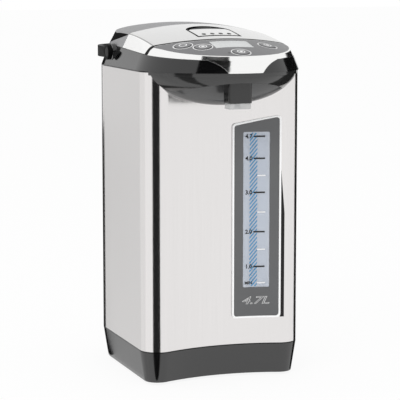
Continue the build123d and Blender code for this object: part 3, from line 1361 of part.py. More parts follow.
with BuildPart() as carry_handle:
    with BuildSketch(Plane.XY.offset(HANDLE_PIVOT_Z - HANDLE_ARM_HEIGHT / 2)):
        handle_outline(HANDLE_OUTER, handle_back, CORNER_BACK - HANDLE_NEST + HANDLE_THICKNESS)
    extrude(amount=HANDLE_ARM_HEIGHT)
    with BuildSketch(Plane.XY.offset(HANDLE_PIVOT_Z - HANDLE_ARM_HEIGHT / 2)):
        handle_outline(HANDLE_INNER, grip_inner, CORNER_BACK - HANDLE_NEST)
    extrude(amount=HANDLE_ARM_HEIGHT, mode=Mode.SUBTRACT)
    boss_middle = (HANDLE_INNER + HANDLE_OUTER) / 2
    with Locations(
        (-boss_middle, HANDLE_PIVOT_Y, HANDLE_PIVOT_Z), (boss_middle, HANDLE_PIVOT_Y, HANDLE_PIVOT_Z)
    ):
        Cylinder(HANDLE_BOSS_RADIUS, HANDLE_THICKNESS, rotation=(0, 90, 0))
        Cylinder(PIVOT_RADIUS + RUN_FIT, 2 * HANDLE_THICKNESS, rotation=(0, 90, 0), mode=Mode.SUBTRACT)
    head_x = HANDLE_OUTER - PIVOT_HEAD / 2
    with Locations((-head_x, HANDLE_PIVOT_Y, HANDLE_PIVOT_Z), (head_x, HANDLE_PIVOT_Y, HANDLE_PIVOT_Z)):
        Cylinder(PIVOT_HEAD_RADIUS + FIT, PIVOT_HEAD + 2 * FIT, rotation=(0, 90, 0), mode=Mode.SUBTRACT)
finish(carry_handle.part, "carry_handle")

pivot_start = HALF - COLLAR_DRAFT - COLLAR_WALL
with BuildPart() as handle_pivots:
    for side in (Plane.YZ, Plane.ZY):
        centre = side.to_local_coords(Vector(0, HANDLE_PIVOT_Y, HANDLE_PIVOT_Z))
        with BuildSketch(side.offset(pivot_start)):
            with Locations((centre.X, centre.Y)):
                Circle(PIVOT_RADIUS)
        extrude(amount=HANDLE_OUTER - FIT - pivot_start)
        with BuildSketch(side.offset(HANDLE_OUTER - PIVOT_HEAD)):
            with Locations((centre.X, centre.Y)):
                Circle(PIVOT_HEAD_RADIUS)
        extrude(amount=PIVOT_HEAD - FIT)
finish(handle_pivots.part, "handle_pivots")
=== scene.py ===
import math

import bpy
from mathutils import Matrix, Vector


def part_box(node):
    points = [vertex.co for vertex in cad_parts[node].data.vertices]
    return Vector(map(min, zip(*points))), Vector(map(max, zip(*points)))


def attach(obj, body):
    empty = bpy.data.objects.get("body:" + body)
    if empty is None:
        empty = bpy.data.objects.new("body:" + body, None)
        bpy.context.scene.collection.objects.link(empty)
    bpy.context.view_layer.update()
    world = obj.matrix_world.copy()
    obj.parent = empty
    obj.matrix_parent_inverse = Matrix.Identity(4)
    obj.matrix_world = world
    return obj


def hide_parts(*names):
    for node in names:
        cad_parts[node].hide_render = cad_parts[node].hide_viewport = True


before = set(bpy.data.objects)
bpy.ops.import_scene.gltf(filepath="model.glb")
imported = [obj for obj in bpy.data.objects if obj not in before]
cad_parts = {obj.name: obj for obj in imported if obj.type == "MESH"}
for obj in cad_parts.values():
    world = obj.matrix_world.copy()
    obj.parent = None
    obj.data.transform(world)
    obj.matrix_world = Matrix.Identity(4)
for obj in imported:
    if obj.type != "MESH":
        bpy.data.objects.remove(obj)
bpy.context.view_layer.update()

bl_info = {
    "name": "Airpot finish",
    "version": (1, 0, 0),
    "blender": (4, 5, 0),
    "location": "View3D > Sidebar > Airpot",
    "description": "Gives the airpot's solids their finishes, prints and studio",
    "category": "Object",
}

# Boxes of the loaded solids and places read from them, in metres
CASING_LOW, CASING_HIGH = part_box("outer_casing")
FRAME_LOW, FRAME_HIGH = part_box("gauge_frame")
WINDOW_LOW, WINDOW_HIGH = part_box("gauge_window")
PANEL_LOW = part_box("gauge_panel")[0]
LEVER_LOW, LEVER_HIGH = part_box("lid_lever")
CONTROL_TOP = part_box("control_panel")[1].z
COLLAR_Z = CASING_HIGH.z
WINDOW_X = (WINDOW_LOW.x + WINDOW_HIGH.x) / 2

# Upward share of a face's direction, which tells walls and flanks from the dome
WALL_RISE = 0.7
BAND_RISE = 0.72
FLANK_RISE = 0.84
DOME_RISE = 0.86
EDGE_RISE = 0.89

# Tone of the painted shade line along the dome's edge, as a share of the silver's
CREASE_SHADE_TONE = 0.35

# Rightward share of a face's direction, from which the gauge frame's edge gets painted shade
FRAME_EDGE_SHADE_TURN = 0.6

# Arc between the lid and the control bezel, along which runs a line of painted shade
SEAM_CENTRE_Y = 0.136
SEAM_RADIUS = 0.2084
SEAM_HALF = 0.0018
SEAM_FLARE = 0.0014

# Painted dark reflection: a black band round the lid shell's rear edge, which leans forward as it rises
BAND_START_Y = 0.066
BAND_Z = 0.362
BAND_LEAN = 5.2

# The lever's finger recess in the lid, whose walls and floor get painted shade, and the band of painted shade
# round the lever's top
RECESS_HALF = 0.027
RECESS_FRONT = -0.062
RECESS_BACK = 0.002
RECESS_TOP_Z = 0.378
RECESS_SLOPE = 0.1525
LEVER_SHADE_FRONT = 0.007
LEVER_SHADE_SIDE = 0.0016
LEVER_SHADE_REAR = 0.011

# Painted shade along the casing's top and foot joints, and a painted shade line beside the gauge frame's
# right edge
JOINT_SHADE_HEIGHT = 0.0012
SIDE_SHADE_START = 0.0003
SIDE_SHADE_WIDTH = 0.0046
SIDE_SHADE_TOP = 0.2375
SIDE_SHADE_TAPER = 0.08

# Prints on the gauge window: from its left edge, and down from the collar
STRIP_OFFSET = 0.0113
STRIP_MARGIN = 0.002
NUMBER_OFFSET = 0.0062
LINE_OFFSET = 0.0175
HALF_LINE_OFFSET = 0.0198
NUMBER_DROPS = {"4.7": 0.0721, "4.0": 0.0959, "3.0": 0.1328, "2.0": 0.1757, "1.0": 0.2138}
LOWEST_DROP = 0.2318
HALF_LINE_DROPS = (0.1145, 0.1543, 0.195, LOWEST_DROP)

# The lowest level's word and a half line, as shares of a number and of its line
LOWEST_SHARE = 0.75
HALF_LINE_LENGTH = 0.7
HALF_LINE_HEIGHT = 0.8

# Slant and cover of the gauge's stripes, and the litre figure's lean, squash and shift
STRIPE_SLANT = 1.2
STRIPE_COVER = 0.62
LITRE_LEAN = 0.3
LITRE_SQUASH = 0.66
LITRE_SHIFT = 0.001

# Clipped corner of a bar as a share of its shorter side, and inset of a dot as a share of its radius
BAR_CORNER = 0.2
DOT_INSET = 0.45

# How far a print starts from its surface, and how far it lies off it in the end
PRINT_START = 0.001
STRIPE_LIFT = 0.00002
PRINT_LIFT = 0.00006
DOT_LIFT = 0.00008

# The lever's row of dots
DOT_COUNT = 4
DOT_SETBACK = 0.0123
DOT_PITCH = 0.0096
DOT_STRETCH = 1.35

# The ovals round the buttons, and the middles of the buttons and of the lamp on the panel
OUTLINE_SQUASH = 0.92
BUTTON_PLACES = {
    "button_reboil": (-0.05, -0.081),
    "button_lock": (-0.033, -0.095),
    "button_dispense": (0.0, -0.119),
    "button_temperature": (0.041, -0.091),
}
LAMP_PLACE = (-0.0135, -0.1195)

# Copper tracks and rungs on the circuit boards
TRACK_PITCH = 0.004
TRACK_WIDTH = 0.0011
RUNG_PITCH = 0.009
RUNG_WIDTH = 0.0012

# Paint of the studio, and the sides of the circle that a card is cut from
WHITE = (1.0, 1.0, 1.0, 1.0)
FLOOR_DARK = (0.9, 0.9, 0.9, 1.0)
FLOOR_PALE = (0.92, 0.92, 0.92, 1.0)
FLOOR_GLOW = 0.9
CARD_SIDES = 720


class AirpotStudio(bpy.types.PropertyGroup):
    """Camera, floor and light of the studio."""

    camera_place: bpy.props.FloatVectorProperty(
        name="Camera place", description="Where the camera stands", subtype="TRANSLATION", unit="LENGTH",
        default=(-0.6476, -1.7327, 0.4452),
    )
    camera_turn: bpy.props.FloatProperty(
        name="Camera turn", description="How far the camera looks towards the right side", subtype="ANGLE",
        default=math.radians(20.47),
    )
    camera_dip: bpy.props.FloatProperty(
        name="Camera dip", description="How far the camera looks down", subtype="ANGLE",
        default=math.radians(7.92),
    )
    lens: bpy.props.FloatProperty(
        name="Lens", description="Focal length on a sensor 36 mm wide", unit="CAMERA", default=151.6,
    )
    fill: bpy.props.FloatProperty(
        name="Fill light", description="Strength of the even light from all sides", default=0.88,
    )
    key_power: bpy.props.FloatProperty(
        name="Key light", description="Power of the soft lamp above the front left", unit="POWER",
        default=18.0,
    )
    key_size: bpy.props.FloatProperty(
        name="Key size", description="Width of the soft lamp", unit="LENGTH", default=1.6,
    )
    key_place: bpy.props.FloatVectorProperty(
        name="Key place", description="Where the soft lamp hangs", subtype="TRANSLATION", unit="LENGTH",
        default=(-1.3, -1.5, 2.0),
    )
    key_aim: bpy.props.FloatVectorProperty(
        name="Key aim", description="Point that the soft lamp shines at", subtype="TRANSLATION",
        unit="LENGTH", default=(0.0, 0.0, 0.2),
    )
    floor_size: bpy.props.FloatProperty(
        name="Floor", description="Length of the floor's sides", unit="LENGTH", default=30.0,
    )
    card_distance: bpy.props.FloatProperty(
        name="Card distance", description="How far the far cards stand from the pot", unit="LENGTH",
        default=3.0,
    )


class AirpotColours(bpy.types.PropertyGroup):
    """Colours of the finishes."""

    steel: bpy.props.FloatVectorProperty(
        name="Steel", description="Brushed casing", subtype="COLOR", default=(0.794, 0.776, 0.77),
    )
    black: bpy.props.FloatVectorProperty(
        name="Black plastic", description="Collar and base", subtype="COLOR", default=(0.003, 0.003, 0.0033),
    )
    hood: bpy.props.FloatVectorProperty(
        name="Spout hood", description="Hood under the nose", subtype="COLOR", default=(0.022, 0.022, 0.022),
    )
    # The bowl is lighter than the hood as painted light, standing in for the white floor mirrored in it
    bowl: bpy.props.FloatVectorProperty(
        name="Spout bowl", description="Bowl behind the hood", subtype="COLOR", default=(0.085, 0.085, 0.086),
    )
    nozzle: bpy.props.FloatVectorProperty(
        name="Nozzle", description="Cover of the nozzle", subtype="COLOR", default=(0.012, 0.012, 0.012),
    )
    tip: bpy.props.FloatVectorProperty(
        name="Nozzle tip", description="Clear tip of the nozzle", subtype="COLOR", default=(0.55, 0.56, 0.56),
    )
    silver: bpy.props.FloatVectorProperty(
        name="Silver", description="Lid trim, bezel and lever", subtype="COLOR", default=(0.92, 0.92, 0.912),
    )
    lid: bpy.props.FloatVectorProperty(
        name="Lid grey", description="Rear shell of the lid", subtype="COLOR", default=(0.32, 0.32, 0.325),
    )
    panel: bpy.props.FloatVectorProperty(
        name="Panel grey", description="Control panel", subtype="COLOR", default=(0.16, 0.16, 0.165),
    )
    button: bpy.props.FloatVectorProperty(
        name="Button grey", description="Button caps", subtype="COLOR", default=(0.18, 0.18, 0.185),
    )
    display: bpy.props.FloatVectorProperty(
        name="Display", description="Display and its window", subtype="COLOR", default=(0.72, 0.74, 0.74),
    )
    gauge: bpy.props.FloatVectorProperty(
        name="Gauge grey", description="Panel round the water gauge", subtype="COLOR",
        default=(0.11, 0.112, 0.115),
    )
    window: bpy.props.FloatVectorProperty(
        name="Gauge window", description="Clear window of the gauge", subtype="COLOR",
        default=(0.74, 0.79, 0.88),
    )
    tube: bpy.props.FloatVectorProperty(
        name="Sight tube", description="Clear tube of the gauge", subtype="COLOR", default=(0.7, 0.82, 0.92),
    )
    plate: bpy.props.FloatVectorProperty(
        name="Gauge plate", description="Pale plate behind the sight tube", subtype="COLOR",
        default=(0.74, 0.83, 0.91),
    )
    stripe: bpy.props.FloatVectorProperty(
        name="Gauge stripes", description="Slanted stripes before the sight tube", subtype="COLOR",
        default=(0.09, 0.34, 0.6),
    )
    handle: bpy.props.FloatVectorProperty(
        name="Handle", description="Carrying handle", subtype="COLOR", default=(0.003, 0.003, 0.003),
    )
    pivot: bpy.props.FloatVectorProperty(
        name="Handle pivots", description="Pivots of the handle", subtype="COLOR",
        default=(0.006, 0.006, 0.006),
    )
    underside: bpy.props.FloatVectorProperty(
        name="Base plate", description="Plate under the base", subtype="COLOR", default=(0.02, 0.02, 0.021),
    )
    rubber: bpy.props.FloatVectorProperty(
        name="Rubber", description="Feet", subtype="COLOR", default=(0.03, 0.03, 0.03),
    )
    hose: bpy.props.FloatVectorProperty(
        name="Hose", description="Silicone hoses and pipe", subtype="COLOR", default=(0.7, 0.69, 0.66),
    )
    seal: bpy.props.FloatVectorProperty(
        name="Seal", description="Silicone seal and gasket", subtype="COLOR", default=(0.66, 0.65, 0.62),
    )
    tank: bpy.props.FloatVectorProperty(
        name="Tank steel", description="Tank and lid liner", subtype="COLOR", default=(0.72, 0.72, 0.71),
    )
    bright: bpy.props.FloatVectorProperty(
        name="Bright steel", description="Screws, pins, strike and motor", subtype="COLOR",
        default=(0.66, 0.66, 0.67),
    )
    alloy: bpy.props.FloatVectorProperty(
        name="Heater alloy", description="Heater under the tank", subtype="COLOR", default=(0.5, 0.5, 0.5),
    )
    pump: bpy.props.FloatVectorProperty(
        name="Pump white", description="Pump and steam valve", subtype="COLOR", default=(0.72, 0.72, 0.7),
    )
    works: bpy.props.FloatVectorProperty(
        name="Works black", description="Thermostat and inlet", subtype="COLOR", default=(0.03, 0.03, 0.031),
    )


class AirpotPrints(bpy.types.PropertyGroup):
    """Sizes of the printed marks and of the handle's rounding."""

    number_size: bpy.props.FloatProperty(
        name="Number size", description="Letter size of the gauge's numbers", unit="LENGTH", default=0.0062,
    )
    number_weight: bpy.props.FloatProperty(
        name="Number weight", description="How much the numbers are thickened", unit="LENGTH",
        default=0.00016,
    )
    mark_width: bpy.props.FloatProperty(
        name="Mark width", description="Length of a gauge line", unit="LENGTH", default=0.0122,
    )
    mark_height: bpy.props.FloatProperty(
        name="Mark height", description="Thickness of a gauge line", unit="LENGTH", default=0.0017,
    )
    litre_size: bpy.props.FloatProperty(
        name="Litre size", description="Letter size of the litre figure", unit="LENGTH", default=0.0175,
    )
    litre_outline: bpy.props.FloatProperty(
        name="Litre outline", description="Half the width of the litre figure's outline", unit="LENGTH",
        default=0.00032,
    )
    strip_width: bpy.props.FloatProperty(
        name="Strip width", description="Width of the strip of stripes", unit="LENGTH", default=0.0082,
    )
    stripe_pitch: bpy.props.FloatProperty(
        name="Stripe pitch", description="Height from stripe to stripe", unit="LENGTH", default=0.0046,
    )
    stripe_height: bpy.props.FloatProperty(
        name="Stripe height", description="Height of one slanted stripe", unit="LENGTH", default=0.0021,
    )
    lever_dot: bpy.props.FloatProperty(
        name="Lever dot", description="Radius of a dot on the lever", unit="LENGTH", default=0.0023,
    )
    outline_radius: bpy.props.FloatProperty(
        name="Button outline", description="Radius of the oval round a button", unit="LENGTH", default=0.0108,
    )
    outline_width: bpy.props.FloatProperty(
        name="Outline width", description="Width of the oval round a button", unit="LENGTH", default=0.001,
    )
    sign_radius: bpy.props.FloatProperty(
        name="Sign radius", description="Radius of the ring on a button", unit="LENGTH", default=0.0044,
    )
    sign_width: bpy.props.FloatProperty(
        name="Sign width", description="Width of the ring on a button", unit="LENGTH", default=0.0011,
    )
    sign_dot: bpy.props.FloatProperty(
        name="Sign dot", description="Radius of the dot in a button's ring", unit="LENGTH", default=0.0018,
    )
    lamp_radius: bpy.props.FloatProperty(
        name="Lamp radius", description="Radius of the ready lamp", unit="LENGTH", default=0.0012,
    )
    film: bpy.props.FloatProperty(
        name="Ink thickness", description="How far a print stands proud", unit="LENGTH", default=0.0001,
    )
    handle_round: bpy.props.FloatProperty(
        name="Handle rounding", description="Rounding of the handle's edges", unit="LENGTH", default=0.0019,
    )


class Wire:
    """One value in a finish's node tree. Arithmetic on it adds Math nodes."""

    def __init__(self, tree, socket=None):
        self.tree = tree
        self.socket = socket

    def node(self, kind, settings=None, values=None, out=0):
        """Add any node: its settings first, then the values or links of its sockets."""
        made = self.tree.nodes.new(kind)
        for key, value in (settings or {}).items():
            setattr(made, key, value)
        for key, value in (values or {}).items():
            if isinstance(value, Wire):
                self.tree.links.new(value.socket, made.inputs[key])
            else:
                made.inputs[key].default_value = value
        return Wire(self.tree, made.outputs[out] if made.outputs else None)

    def maths(self, operation, first, second=0.0):
        """One Math node on one or two values."""
        return self.node("ShaderNodeMath", {"operation": operation}, {0: first, 1: second})

    def __add__(self, other):
        return self.maths("ADD", self, other)

    def __radd__(self, other):
        return self.maths("ADD", other, self)

    def __sub__(self, other):
        return self.maths("SUBTRACT", self, other)

    def __rsub__(self, other):
        return self.maths("SUBTRACT", other, self)

    def __mul__(self, other):
        return self.maths("MULTIPLY", self, other)

    def __rmul__(self, other):
        return self.maths("MULTIPLY", other, self)

    def __mod__(self, other):
        return self.maths("FLOORED_MODULO", self, other)

    def __rmod__(self, other):
        return self.maths("FLOORED_MODULO", other, self)

    def __lt__(self, other):
        return self.maths("LESS_THAN", self, other)

    def __gt__(self, other):
        return self.maths("GREATER_THAN", self, other)

    def __or__(self, other):
        return self.maths("MAXIMUM", self, other)

    def __ror__(self, other):
        return self.maths("MAXIMUM", other, self)

    def __abs__(self):
        return self.maths("ABSOLUTE", self)


def rgba(colour, scale=1.0):
    """A colour with its alpha, lightened or darkened."""
    return (colour[0] * scale, colour[1] * scale, colour[2] * scale, 1.0)


def grey(tone):
    """A grey with its alpha."""
    return (tone, tone, tone, 1.0)


def axis_of(wire, output, axis):
    """One axis of the piece's own place, Object, or of its surface's direction, Normal."""
    whole = wire.node("ShaderNodeTexCoord", out=output)
    return wire.node("ShaderNodeSeparateXYZ", None, {"Vector": whole}, out=axis)


def grain(wire, scale, stretch=(1.0, 1.0, 1.0), detail=3.0):
    """Noise in the piece's own metres, stretched along its axes."""
    place = wire.node("ShaderNodeTexCoord", out="Object")
    place = wire.node("ShaderNodeMapping", None, {"Vector": place, "Scale": stretch})
    values = {"Vector": place, "Scale": scale, "Detail": detail}
    return wire.node("ShaderNodeTexNoise", None, values, out="Fac")


def tint(wire, share, low, high):
    """A colour between two, by a share."""
    return wire.node("ShaderNodeMix", {"data_type": "RGBA"}, {0: share, 6: low, 7: high}, out=2)


def shown_share(wire):
    """One where a surface of the studio is seen by the camera, mirrored or seen through."""
    rays = [
        wire.node("ShaderNodeLightPath", out=output)
        for output in ("Is Camera Ray", "Is Glossy Ray", "Is Transmission Ray")
    ]
    return wire.maths("MINIMUM", rays[0] + rays[1] + rays[2], 1.0)


def start_finish(name):
    """A new material with an empty node tree."""
    finish = bpy.data.materials.new(name)
    finish.use_nodes = True
    finish.node_tree.nodes.clear()
    return finish, Wire(finish.node_tree)


def close_finish(wire, values, height=None, strength=0.0, rounding=0.0):
    """The shader and output of a finish, with its fine relief and softened edges."""
    if rounding:
        values["Normal"] = wire.node("ShaderNodeBevel", {"samples": 4}, {"Radius": rounding})
    if height is not None:
        relief = {"Height": height, "Strength": strength, "Distance": 0.0005}
        if rounding:
            relief["Normal"] = values["Normal"]
        values["Normal"] = wire.node("ShaderNodeBump", None, relief)
    shader = wire.node("ShaderNodeBsdfPrincipled", None, values)
    wire.node("ShaderNodeOutputMaterial", None, {"Surface": shader})


def casing_painted_shade(wire):
    """Share of painted shade on the casing: lines at its top and foot joints, and a line beside the gauge
    frame that widens towards the frame's foot.
    """
    across = axis_of(wire, "Object", 0) - (FRAME_HIGH.x + SIDE_SHADE_START)
    along = axis_of(wire, "Object", 1)
    height = axis_of(wire, "Object", 2)
    # Painted shade line beside the gauge frame, widening downwards
    shade_width = wire.maths("MINIMUM", (SIDE_SHADE_TOP - height) * SIDE_SHADE_TAPER, SIDE_SHADE_WIDTH)
    side_shade = (across > 0.0) * (across < shade_width) * (height > FRAME_LOW.z) * (along < 0.0)
    return (height < CASING_LOW.z + JOINT_SHADE_HEIGHT) | (height > CASING_HIGH.z - JOINT_SHADE_HEIGHT) | side_shade


def seam_painted_shade(wire):
    """Share of painted shade along the arc between the lid and the control bezel, wider on the flanks."""
    across = axis_of(wire, "Object", 0)
    along = axis_of(wire, "Object", 1) - SEAM_CENTRE_Y
    reach = wire.maths("SQRT", across * across + along * along)
    flank = axis_of(wire, "Normal", 2) < FLANK_RISE
    return abs(reach - SEAM_RADIUS) < SEAM_HALF + flank * SEAM_FLARE


def lid_painted_shade(wire):
    """Share of painted shade on the lid's trim: along its seam, and on the recess's walls and floor."""
    along = axis_of(wire, "Object", 1)
    inside = (abs(axis_of(wire, "Object", 0)) < RECESS_HALF) * (along > RECESS_FRONT) * (along < RECESS_BACK)
    deep = axis_of(wire, "Object", 2) < RECESS_TOP_Z + along * RECESS_SLOPE
    wall = axis_of(wire, "Normal", 2) < WALL_RISE
    return seam_painted_shade(wire) | inside * (wall | deep)


def lever_painted_shade(wire):
    """Share of painted shade on the lever: its edges, and a band round its top."""
    along = axis_of(wire, "Object", 1)
    side = abs(axis_of(wire, "Object", 0)) > LEVER_HIGH.x - LEVER_SHADE_SIDE
    rear = along > LEVER_HIGH.y - LEVER_SHADE_REAR
    front = along < RECESS_FRONT + LEVER_SHADE_FRONT
    edge = axis_of(wire, "Normal", 2) < WALL_RISE
    return edge | side | rear | front


def steel_finish(name, colour, rough, stretch, shade=None):
    """Brushed steel: long fine scratches, a faint clouding and, where given, places darkened by painted
    shade.
    """
    finish, wire = start_finish(name)
    brush = grain(wire, 1.0, stretch, 4.0)
    cloud = grain(wire, 9.0)
    skin = tint(wire, brush, rgba(colour, 0.965), rgba(colour, 1.03))
    # Painted shade from the given share, darkening the steel to near black
    if shade:
        skin = tint(wire, shade(wire), skin, grey(0.03))
    values = {
        "Base Color": skin,
        "Metallic": 1.0,
        "Roughness": rough + (brush - 0.5) * 0.09 + (cloud - 0.5) * 0.04,
    }
    close_finish(wire, values, brush, 0.035)
    return finish


def plastic_finish(name, colour, rough, relief=0.04, rounding=0.0006, spread=0.12, index=1.5):
    """Moulded plastic: slight clouding in the colour and fine moulded grain."""
    finish, wire = start_finish(name)
    cloud = grain(wire, 22.0)
    skin = grain(wire, 1400.0, detail=2.0)
    values = {
        "Base Color": tint(wire, cloud, rgba(colour, 1.0 - spread), rgba(colour, 1.0 + spread)),
        "Roughness": rough + (cloud - 0.5) * 0.05 + (skin - 0.5) * 0.06,
        "IOR": index,
    }
    close_finish(wire, values, skin, relief, rounding)
    return finish


def silver_finish(name, colour, rough, shade, dome=1.0):
    """Silver plating: fine flakes under a satin skin, painted shade at seams and, where given, painted shade
    darkening the dome's top and lining its edge.
    """
    finish, wire = start_finish(name)
    flake = grain(wire, 2600.0, detail=2.0)
    cloud = grain(wire, 14.0)
    skin = tint(wire, flake, rgba(colour, 0.97), rgba(colour, 1.03))
    # Painted shade where given: the dome's top darker, and a dark line along its edge
    if dome < 1.0:
        upward = axis_of(wire, "Normal", 2)
        skin = tint(wire, upward > DOME_RISE, skin, rgba(colour, dome))
        skin = tint(wire, (upward > FLANK_RISE) * (upward < EDGE_RISE), skin, rgba(colour, CREASE_SHADE_TONE))
    # Painted shade from the given share, near black and rougher
    dark = shade(wire)
    values = {
        "Base Color": tint(wire, dark, skin, grey(0.012)),
        "Metallic": 1.0,
        "Roughness": rough + (flake - 0.5) * 0.05 + (cloud - 0.5) * 0.03 + dark * 0.4,
    }
    close_finish(wire, values, flake, 0.015, 0.0004)
    return finish


def shell_finish(name, colour):
    """Grey lid shell with a black band round its rear edge, painted in for a dark reflection."""
    finish, wire = start_finish(name)
    # Painted dark reflection: a black band on the rear flank, leaning forward as it rises
    lean = axis_of(wire, "Object", 1) + (axis_of(wire, "Object", 2) - BAND_Z) * BAND_LEAN
    band = (lean > BAND_START_Y) * (axis_of(wire, "Normal", 2) < BAND_RISE)
    cloud = grain(wire, 22.0)
    skin = grain(wire, 1400.0, detail=2.0)
    plain = tint(wire, cloud, rgba(colour, 0.96), rgba(colour, 1.04))
    values = {
        "Base Color": tint(wire, band, plain, grey(0.004)),
        "Roughness": 0.5 + band * 0.3 + (cloud - 0.5) * 0.05 + (skin - 0.5) * 0.06,
        "IOR": 1.12,
    }
    close_finish(wire, values, skin, 0.05, 0.0006)
    return finish


def clear_finish(name, colour, alpha, rough):
    """Clear plastic, thin enough to see through, with faint flow lines."""
    finish, wire = start_finish(name)
    flow = grain(wire, 60.0, (1.0, 1.0, 0.15))
    values = {
        "Base Color": tint(wire, flow, rgba(colour, 0.96), rgba(colour, 1.03)),
        "Roughness": rough + flow * 0.05,
        "Alpha": alpha,
    }
    close_finish(wire, values)
    return finish


def rubber_finish(name, colour, rough):
    """Rubber or silicone: matte, with a soft pebbled skin."""
    finish, wire = start_finish(name)
    pebble = grain(wire, 700.0, detail=3.0)
    cloud = grain(wire, 30.0)
    values = {
        "Base Color": tint(wire, cloud, rgba(colour, 0.85), rgba(colour, 1.12)),
        "Roughness": rough + (pebble - 0.5) * 0.12,
    }
    close_finish(wire, values, pebble, 0.12)
    return finish


def board_finish(name):
    """Circuit board: green lacquer over copper tracks that run both ways."""
    finish, wire = start_finish(name)
    cloud = grain(wire, 120.0)
    track = ((axis_of(wire, "Object", 0) + cloud * 0.004) % TRACK_PITCH) < TRACK_WIDTH
    rung = ((axis_of(wire, "Object", 1) + cloud * 0.006) % RUNG_PITCH) < RUNG_WIDTH
    copper = track | rung
    values = {
        "Base Color": tint(wire, copper, (0.016, 0.1, 0.04, 1.0), (0.05, 0.21, 0.08, 1.0)),
        "Roughness": 0.38 - copper * 0.08 + (cloud - 0.5) * 0.05,
    }
    close_finish(wire, values, copper, 0.15)
    return finish


def frame_finish(name):
    """Gauge frame: white, with painted shade on its right edge."""
    finish, wire = start_finish(name)
    # Painted shade on the frame's right edge
    edge = axis_of(wire, "Normal", 0) > FRAME_EDGE_SHADE_TURN
    cloud = grain(wire, 40.0)
    white = tint(wire, cloud, (0.97, 0.97, 0.975, 1.0), (0.995, 0.995, 0.995, 1.0))
    values = {
        "Base Color": tint(wire, edge, white, (0.05, 0.05, 0.053, 1.0)),
        "Roughness": 0.3 + (cloud - 0.5) * 0.06,
    }
    close_finish(wire, values)
    return finish


def stripe_finish(name, colour, pitch, height):
    """Slanted stripes of clear blue ink with bare gaps between them."""
    finish, wire = start_finish(name)
    speck = grain(wire, 900.0, detail=2.0)
    slant = axis_of(wire, "Object", 2) - axis_of(wire, "Object", 0) * STRIPE_SLANT
    values = {
        "Base Color": tint(wire, speck, rgba(colour, 0.9), rgba(colour, 1.1)),
        "Roughness": 0.4 + (speck - 0.5) * 0.1,
        "Alpha": (slant % pitch < height) * STRIPE_COVER,
    }
    close_finish(wire, values)
    return finish


def ink_finish(name, tone):
    """Printed ink with a slightly uneven coat."""
    finish, wire = start_finish(name)
    speck = grain(wire, 900.0, detail=2.0)
    values = {
        "Base Color": tint(wire, speck, grey(tone * 0.85), grey(tone * 1.1)),
        "Roughness": 0.45 + (speck - 0.5) * 0.15,
    }
    close_finish(wire, values)
    return finish


def dress(finish, *nodes):
    """Give solids from the frame a finish."""
    for name in nodes:
        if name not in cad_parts:
            raise RuntimeError("no solid named " + name)
        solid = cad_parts[name]
        solid.data.materials.clear()
        solid.data.materials.append(finish)


def only(piece):
    """Select one piece and make it active."""
    bpy.ops.object.select_all(action="DESELECT")
    piece.select_set(True)
    bpy.context.view_layer.objects.active = piece


def settle(piece):
    """Put a piece's place, turn and scale into its mesh."""
    only(piece)
    bpy.ops.object.transform_apply(location=True, rotation=True, scale=True)
    return piece


def join(pieces, name):
    """Make one piece of several, under a name."""
    bpy.ops.object.select_all(action="DESELECT")
    for piece in pieces:
        piece.select_set(True)
    bpy.context.view_layer.objects.active = pieces[0]
    if len(pieces) > 1:
        bpy.ops.object.join()
    piece = bpy.context.view_layer.objects.active
    piece.name = name
    piece.data.name = name
    return piece


def stretch(piece, factor, centre):
    """Stretch a flat piece from front to back about a point."""
    only(piece)
    bpy.ops.object.mode_set(mode="EDIT")
    bpy.ops.mesh.select_all(action="SELECT")
    bpy.ops.transform.resize(value=(1.0, factor, 1.0), center_override=centre)
    bpy.ops.object.mode_set(mode="OBJECT")


def lay_on(piece, target, axis, lift):
    """Lay a flat print on a solid along one axis and give it the thickness of ink."""
    only(piece)
    seat = piece.modifiers.new("seat", "SHRINKWRAP")
    seat.wrap_method = "PROJECT"
    seat.wrap_mode = "ABOVE_SURFACE"
    seat.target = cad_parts[target]
    seat.use_project_y = axis == "Y"
    seat.use_project_z = axis == "Z"
    seat.use_negative_direction = True
    seat.use_positive_direction = True
    seat.offset = lift
    bpy.ops.object.modifier_apply(modifier="seat")
    body = piece.modifiers.new("body", "SOLIDIFY")
    body.thickness = bpy.context.scene.airpot_prints.film
    body.offset = 1.0
    bpy.ops.object.modifier_apply(modifier="body")


def upright_bar(place, width, height):
    """Flat bar facing the front, with clipped corners."""
    bpy.ops.object.select_all(action="DESELECT")
    bpy.ops.mesh.primitive_plane_add(size=1.0, location=place, rotation=(math.radians(90), 0, 0))
    piece = bpy.context.view_layer.objects.active
    piece.scale = (width, height, 1.0)
    settle(piece)
    bpy.ops.object.mode_set(mode="EDIT")
    bpy.ops.mesh.select_all(action="SELECT")
    bpy.ops.mesh.bevel(offset=min(width, height) * BAR_CORNER, segments=2, affect="VERTICES")
    bpy.ops.object.mode_set(mode="OBJECT")
    return piece


def words(text, place, size, lean=0.0, outline=0.0, squash=1.0, weight=0.0):
    """Lettering as a mesh, facing the front."""
    bpy.ops.object.select_all(action="DESELECT")
    bpy.ops.object.text_add(location=place, rotation=(math.radians(90), 0, 0))
    piece = bpy.context.view_layer.objects.active
    piece.data.body = text
    piece.data.size = size
    piece.data.shear = lean
    piece.data.align_x = "CENTER"
    piece.data.align_y = "CENTER"
    piece.data.resolution_u = 4
    piece.data.offset = weight
    if outline:
        piece.data.fill_mode = "NONE"
        piece.data.bevel_depth = outline
        piece.data.bevel_resolution = 1
    bpy.ops.object.convert(target="MESH")
    piece = bpy.context.view_layer.objects.active
    piece.scale = (1.0, squash, 1.0)
    return settle(piece)


